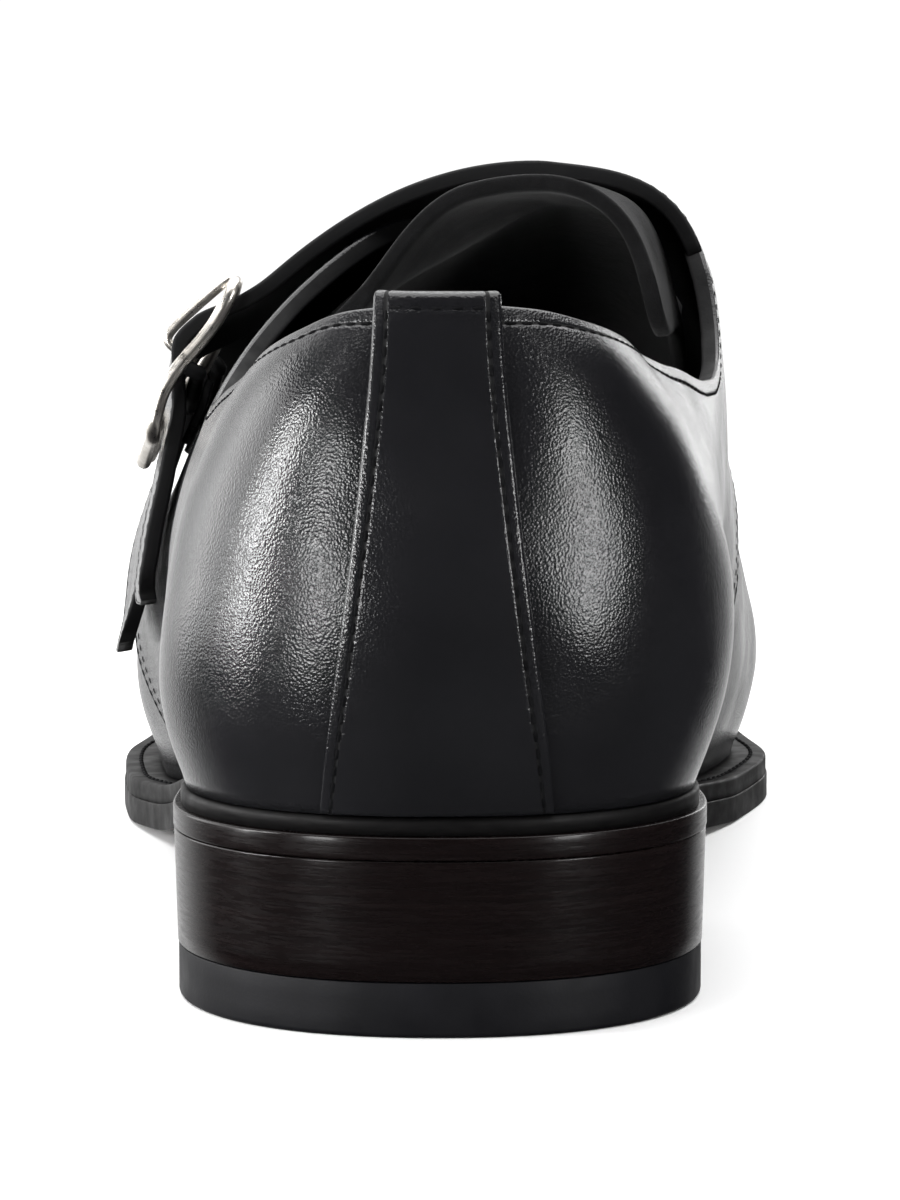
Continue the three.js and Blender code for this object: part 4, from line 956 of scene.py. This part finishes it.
# Buckles
BUCKLES = {
    "rear": {"strap": STRAP_REAR, "top": -0.375, "bar": -0.48, "end": -0.565},
    "front": {"strap": STRAP_FRONT, "top": -0.3, "bar": -0.405, "end": -0.48},
}
for each in BUCKLES.values():
    each["over"] = table(STRAP_COLUMNS, each["strap"], [-row[0] for row in each["strap"]])
BAR_UP = (1, 0, 0.3)
FRAME_CORNER = 0.12
PRONG_TAPER = ((0, 0.85, 0.97, 1), (1, 1, 0.75, 0.35))
TAB_INSET = 5.0
TAB_EDGE = 0.5


def lift_of(buckle, girth, across):
    """How far the underside of a buckle's strap lies over the last."""
    return buckle["over"]["lift"](-girth) * twist(girth, across)


def frame_level(buckle, girth, across):
    over = STRAP_THICKNESS + FRAME_END_CLEARANCE + FRAME_RADIUS
    top, end = (lift_of(buckle, buckle[name], across) + over for name in ("top", "end"))
    share = (girth - buckle["top"]) / (buckle["end"] - buckle["top"])
    lean = FRAME_LEAN * across * np.sin(math.pi * share)
    return mix(top, end, share) - FRAME_SWING * np.sin(2 * math.pi * share) - lean


def frame_edges(buckle, girth):
    over = buckle["over"]
    return over["rear"](-girth) - FRAME_CLEARANCE, over["front"](-girth) + FRAME_CLEARANCE


def bar_mesh(line, radius, up=None):
    """A round bar along a line; without an upward direction it closes into a ring."""
    if up is None:
        tangent = np.roll(line, -1, axis=0) - np.roll(line, 1, axis=0)
        ups = line - line.mean(axis=0)
    else:
        tangent = np.gradient(line, axis=0)
        ups = np.broadcast_to(up, line.shape)
    tangent = unit(tangent)
    sideways = unit(np.cross(tangent, ups))
    upright = unit(np.cross(sideways, tangent))
    angle = (2 * math.pi * np.arange(BAR_SIDES) / BAR_SIDES)[None, :, None]
    ring = sideways[:, None] * np.cos(angle) + upright[:, None] * np.sin(angle)
    size = np.broadcast_to(radius, len(line))[:, None, None]
    return tube_mesh(line[:, None] + ring * size, up is None)


def smooth_line(points, closed, steps=8):
    """A Catmull-Rom line through points."""
    points = np.asarray(points, float)
    count = len(points)
    result = []
    last = count if closed else count - 1
    for i in range(last):
        pick = [(i + k) % count if closed else min(max(i + k, 0), count - 1) for k in (-1, 0, 1, 2)]
        p0, p1, p2, p3 = (points[k] for k in pick)
        for t in np.arange(steps) / steps:
            result.append(0.5 * ((2 * p1) + (p2 - p0) * t + (2 * p0 - 5 * p1 + 4 * p2 - p3) * t ** 2
                                 + (3 * p1 - p0 - 3 * p2 + p3) * t ** 3))
    if not closed:
        result.append(points[-1])
    return np.array(result)


def frame_point(buckle, girth_share, across):
    girth = buckle["top"] + (buckle["end"] - buckle["top"]) * girth_share
    rear, front = frame_edges(buckle, girth)
    return skin(mix(rear, front, across) - HEEL_PIVOT_Y, girth, frame_level(buckle, girth, across))


def frame_outline(buckle):
    """Points of a buckle's frame: half of it, then the same half turned round."""
    low, high = FRAME_CORNER, 1 - FRAME_CORNER
    turns = (0.1, 0.29, 0.5, 0.71, 0.9)

    def arc(t):
        return high + FRAME_CORNER * math.sqrt(max(2 * t - t ** 2, 0))

    half = [(share, 0) for share in np.linspace(low, high, 7)]
    half += [(arc(t), t * low) for t in turns]
    half += [(1, across) for across in np.linspace(low, high, 6)]
    half += [(arc(t), 1 - t * low) for t in turns[::-1]]
    line = half + [(1 - share, 1 - across) for share, across in half]
    return smooth_line([frame_point(buckle, share, across) for share, across in line], True, 6)


def bar_line(buckle):
    girth = buckle["bar"]
    rear, front = frame_edges(buckle, girth)
    across = np.array([0, 0.012, 0.035, 0.12, 0.5, 0.88, 0.965, 0.988, 1])
    dip = smooth(np.minimum(across, 1 - across), 0, 0.035)
    level = mix(frame_level(buckle, girth, across), lift_of(buckle, girth, across) - BAR_DROP, dip)
    return smooth_line(skin(mix(rear, front, across) - HEEL_PIVOT_Y, girth, level), False, 5)


def prong_line(buckle):
    """The prong's line, from under the strap through its hole and over to rest on the frame."""
    bar, top = buckle["bar"], buckle["top"]
    rear, front = frame_edges(buckle, bar)
    hole = bar + 0.02
    under = lift_of(buckle, bar, 0.5) - GAP
    over = lift_of(buckle, hole, 0.5) + STRAP_THICKNESS + GAP + PRONG_RADIUS
    end = frame_level(buckle, top, 0.5) + FRAME_RADIUS + PRONG_RADIUS + GAP
    rows = ((hole, under), (hole, under + 1.6), (hole + 0.002, over), (hole + 0.015, over + 0.6),
            (mix(hole, top, 0.6), mix(over + 0.8, end, 0.6)), (top, end), (top + 0.012, end - 0.2))
    y = (rear + front) / 2 - HEEL_PIVOT_Y
    return smooth_line([skin(y, girth, level) for girth, level in rows], False, 6)


def make_buckle(name, buckle):
    both = merged(bar_mesh(frame_outline(buckle), FRAME_RADIUS),
                  bar_mesh(bar_line(buckle), BAR_RADIUS, BAR_UP))
    settle(new_object("buckle_%s_metal" % name, *both, [metal]), "buckle_metal", "buckle_" + name)
    line = prong_line(buckle)
    taper = np.interp(np.linspace(0, 1, len(line)), *PRONG_TAPER)
    prong = bar_mesh(line, PRONG_RADIUS * taper, (0, 1, 0))
    settle(new_object("prong_%s_metal" % name, *prong, [metal]), "buckle_metal", "prong_" + name)


def make_tab(name, buckle):
    """The short tab under a buckle's bar, with the sleeve that wraps the bar."""
    bar = buckle["bar"]
    rear, front = frame_edges(buckle, bar)
    share = np.linspace(0, 1, 50)[:, None]
    near = np.array([0, 0.05, 0.15, 0.3, 0.5])
    width = front - rear - 2 * TAB_INSET
    across = np.concatenate([near, np.linspace(0.9, width - 0.9, 12), width - near[::-1]])[None, :]
    girth = mix(bar - TAB_GIRTH, bar + 0.002, share)
    bar_level = lift_of(buckle, bar, (TAB_INSET + across) / (front - rear)) - BAR_DROP - BAR_RADIUS
    rise = GAP + smooth(share, 0.35, 1) * np.maximum(bar_level - TAB_THICKNESS - 2.5 * GAP, 0)
    fall = rounded(np.minimum(across, width - across), TAB_EDGE) * TAB_EDGE
    along = rear + TAB_INSET + across - HEEL_PIVOT_Y
    outer = skin(along, girth, rise + TAB_THICKNESS - fall)
    inner = skin(along, girth, rise + fall * 0.5)
    tab = merged(sheet_mesh(outer, inner)[:2], bar_mesh(bar_line(buckle)[4:-4], SLEEVE_RADIUS, BAR_UP))
    settle(new_object("tab_%s_leather" % name, *tab, [edge_leather_and_seam_shade]), "calf_leather", "tab_" + name)


# Sole unit
def sole_stations(fine=1.0):
    return np.concatenate([
        np.linspace(HEEL_BACK, 0, int(60 * fine))[:-1],
        np.linspace(0, TOE_START, int(110 * fine)),
        toe_along(np.linspace(0, 90, int(60 * fine))[1:]),
    ])


def quads(number):
    corners = [number[:-1, :-1], number[1:, :-1], number[1:, 1:], number[:-1, 1:]]
    return np.stack(corners, -1).reshape(-1, 4)


def plate_mesh(stations, rings, bottom, top, reach, across=6, shape=None):
    """Points, faces and slots (1 underside, 0 the rest) of a plate with the sole's outline."""
    share = np.linspace(0, 1, across + 1)[None, :, None]
    levels = []
    for inset, rise, offset in rings:
        lateral, medial = (outline_point(stations, side, reach - inset)[:, None] for side in (-1, 1))
        flat = lateral + (medial - lateral) * share
        if shape is not None:
            flat = shape(flat)
        y = flat[..., 1]
        levels.append(np.concatenate([flat, (mix(bottom(y), top(y), rise) + offset)[..., None]], -1))
    grid = np.array(levels)
    number = np.arange(grid[..., 0].size).reshape(grid.shape[:3])
    sides = (number[0], number[-1], number[:, :, 0], number[:, :, -1], number[:, 0], number[:, -1])
    faces = [quads(side) for side in sides]
    slots = np.zeros(sum(map(len, faces)), int)
    slots[:len(faces[0])] = 1
    return grid.reshape(-1, 3), np.concatenate(faces).tolist(), slots


def edge_rings(low, high, steps=5, middle=2):
    """Rows of (inset, share of the way up, offset) for an edge with corners rounded by low and high."""
    angle = np.linspace(0, math.pi / 2, steps)
    share = np.linspace(0, 1, middle + 2)[1:-1]
    return np.concatenate([
        np.stack([low * (1 - np.sin(angle)), 0 * angle, low * (1 - np.cos(angle))], 1),
        np.stack([0 * share, share, low * (1 - share) - high * share], 1),
        np.stack([high * (1 - np.cos(angle)), 0 * angle + 1, -high * (1 - np.sin(angle))], 1),
    ])


def level_at(height):
    return lambda y: np.full_like(y, height)


def make_outsole():
    stations = sole_stations()
    points, faces, slots = plate_mesh(stations, edge_rings(0.25, 0.3), sole_line, outsole_top,
                                      reach_at(stations))
    over_heel = points[np.array(faces), 1].mean(axis=1) < HEEL_BREAST_Y
    slots[(slots == 0) & over_heel] = 2
    obj = new_object("outsole_leather", points, faces, [sole_edge, tread, stacked], slots)
    settle(obj, "sole_leather", "outsole")


def breast(flat):
    """The front face of the heel, hollowed toward its middle."""
    share = np.clip(np.abs(flat[-1, :, 0]) / HEEL_HALF_WIDTH, 0, 1)
    for row, part in BREAST_ROWS:
        flat[row, :, 1] -= HEEL_BREAST_HOLLOW * part * (1 - share * share)
    return flat


def make_heel():
    stations = np.concatenate([np.linspace(HEEL_BACK, 0, 70),
                               np.linspace(0, HEEL_BREAST_Y - HEEL_PIVOT_Y, 16)[1:]])
    reach = reach_at(stations)
    stack_top = float(sole_line(0.0)) - HEEL_SEAM
    rings = edge_rings(0.12, 0.2, 3, 6)
    rings[:, 0] += HEEL_TAPER * np.linspace(1, 0, len(rings))
    stack = plate_mesh(stations, rings, level_at(LIFT_HEIGHT + HEEL_SEAM),
                       lambda y: np.minimum(stack_top, sole_line(y) - 0.1), reach, 12, breast)
    settle(new_object("heel_stack_leather", *stack[:2], [stacked]), "stacked_leather", "heel_stack")
    lift = plate_mesh(stations, edge_rings(0.6, 0.12), level_at(0), level_at(LIFT_HEIGHT),
                      reach - HEEL_TAPER, 12, breast)
    settle(new_object("top_lift_rubber", *lift[:2], [rubber]), "heel_rubber", "top_lift")


def welt_reach(along):
    return reach_at(along) - mix(0.9, 0.2, smooth(along, 10, 50))


def make_welt():
    stations = sole_stations()
    along = np.concatenate([stations, stations[1:-1][::-1]])
    side = np.where(np.arange(len(along)) < len(stations), -1.0, 1.0)
    outer = welt_reach(along)
    angle = np.linspace(0, math.pi / 2, 5)
    edge = zip(-WELT_CORNER * (1 - np.cos(angle)), -WELT_CORNER * (1 - np.sin(angle)))
    groove_rows = ((0.3 - WELT_STITCH, 0), (-WELT_STITCH, -0.14), (-0.3 - WELT_STITCH, 0))
    rings = []
    for distance, rise in ((-WELT_INWARD, None), (0, None), *edge, *groove_rows, (-WELT_INWARD, 0)):
        flat = outline_point(along, side, np.where(distance > -WELT_INWARD, outer + distance, distance))
        y = flat[:, 1]
        z = outsole_top(y) + 0.05 if rise is None else welt_top(y) + rise
        rings.append(np.concatenate([flat, z[:, None]], 1))
    points, faces = tube_mesh(np.array(rings).transpose(1, 0, 2), closed=True)
    settle(new_object("welt_leather", points, faces, [sole_edge]), "sole_leather", "welt")
    along = np.concatenate([np.linspace(48, TOE_START, 150), toe_along(np.linspace(1, 89, 90))])
    for side in (-1, 1):
        flat = outline_point(along, side, welt_reach(along) - WELT_STITCH)
        line = np.concatenate([flat, (welt_top(flat[:, 1]) + 0.02)[:, None]], 1)
        add_stitches(line, np.broadcast_to((0.0, 0.0, 1.0), line.shape), **WELT_STITCHES)


def make_insole():
    stations = sole_stations(0.7)
    wall = mix(QUARTER_WALL, VAMP_DROP + VAMP_WALL, smooth(stations, 50, THROAT_ALONG))
    points, faces, _ = plate_mesh(stations, edge_rings(0.3, 0.6, 4, 1), foot_z,
                                  lambda y: foot_z(y) + INSOLE_THICKNESS, -wall - INSOLE_CLEARANCE, 8)
    settle(new_object("insole_sock", points, faces, [lining]), "lining_leather", "insole")


make_upper()
upper_stitches()
make_backstay()
make_tongue()
for strap_name, strap_buckle in BUCKLES.items():
    make_strap(strap_name, strap_buckle["strap"])
    make_buckle(strap_name, strap_buckle)
    make_tab(strap_name, strap_buckle)
make_outsole()
make_heel()
make_welt()
make_insole()
seam_thread = new_object("seam_thread", *merged(*stitches), [thread], weld=1e-9)
settle(seam_thread, "calf_leather")


# Studio, in metres
FLOOR_CORNERS = ((-1.1, -1.1), (1.1, -1.1), (1.1, 1.2), (-1.1, 1.2))
SKY_LEAN = -0.2
SKY_EDGE = (0.58, 0.93)
SKY_STRENGTH = 1.08


def place_in_scene(name, data):
    obj = bpy.data.objects.new(name, data)
    bpy.context.scene.collection.objects.link(obj)
    return obj


def make_floor():
    """A white floor that lights the shoe but isn't mirrored in it."""
    mesh = bpy.data.meshes.new("studio_floor")
    mesh.from_pydata([(x, y, 0) for x, y in FLOOR_CORNERS], [], [(0, 1, 2, 3)])
    mesh.materials.append(principled("studio_floor", (0.9, 0.9, 0.9), 0.7, Specular_IOR_Level=0.1))
    floor = place_in_scene("studio_floor", mesh)
    floor.visible_glossy = False


def area_light(name, place, target, size, power, roll=0):
    light = bpy.data.lights.new(name, "AREA")
    light.shape = "RECTANGLE"
    light.size, light.size_y = size
    light.energy = power
    obj = place_in_scene(name, light)
    obj.location = place
    facing = (Vector(target) - Vector(place)).to_track_quat("-Z", "Y")
    obj.rotation_euler = (facing @ Quaternion((0, 0, 1), math.radians(roll))).to_euler()


def make_world():
    """White where the camera looks past the shoe; what the shoe mirrors is dark behind the camera."""
    world = bpy.data.worlds.new("studio")
    bpy.context.scene.world = world
    world.use_nodes = True
    n = Nodes(world.node_tree)
    split = n.node("ShaderNodeSeparateXYZ", {"Vector": n.place["Generated"]}).outputs
    lean = n.add(split["Y"], split["X"], SKY_LEAN)
    dark_to_white = [(0.0, (0.018, 0.018, 0.02)), (1.0, (1, 1, 1))]
    mirrored = n.ramp(n.remap(lean, 0, 1, *SKY_EDGE), dark_to_white)
    seen = n.node("ShaderNodeLightPath").outputs["Is Camera Ray"]
    # The mix node's sockets 6 and 7, and its output 2, are the ones for colours.
    mixed = n.node("ShaderNodeMix", {0: seen, 6: mirrored, 7: (1, 1, 1, 1)}, data_type="RGBA")
    background = n.tree.nodes["Background"].inputs
    n.tree.links.new(mixed.outputs[2], background["Color"])
    background["Strength"].default_value = SKY_STRENGTH


CAMERA_X = 1.4
CAMERA_BACK = 415.0
CAMERA_HEIGHT = 87.0
CAMERA_PITCH = 5.1
CAMERA_LENS = 112.6


def make_camera():
    data = bpy.data.cameras.new("camera")
    data.lens = CAMERA_LENS
    data.sensor_width = 36
    data.clip_start = 0.01
    camera = place_in_scene("camera", data)
    camera.location = metres((CAMERA_X, -CAMERA_BACK, CAMERA_HEIGHT))
    camera.rotation_euler = (math.radians(90 - CAMERA_PITCH), 0, 0)
    bpy.context.scene.camera = camera


make_floor()
make_world()
make_camera()
bpy.context.scene.view_settings.view_transform = "Standard"
heel_centre = metres((0, 20, 50))
# Name, place in millimetres, size in metres, power and roll of each light on the heel
for light_name, light_place, light_size, light_power, light_roll in (
    ("left_box", (-690, -90, 175), (0.08, 0.38), 4.8, -32),
    ("left_side_box", (-680, 330, 220), (0.6, 0.44), 3.0, 0),
    ("left_low_box", (-495, -475, 85), (0.16, 0.15), 2.2, 0),
    ("right_box", (594, -351, 240), (0.09, 0.26), 1.5, 14),
    ("right_low_box", (540, -430, 85), (0.16, 0.15), 1.3, 0),
    ("right_back_box", (337, 834, 210), (0.07, 0.3), 0.35, 0),
):
    area_light(light_name, metres(light_place), heel_centre, light_size, light_power, light_roll)
area_light("top_box", metres((0, 450, 1500)), metres((0, 350, 0)), (2.6, 2.6), 80)
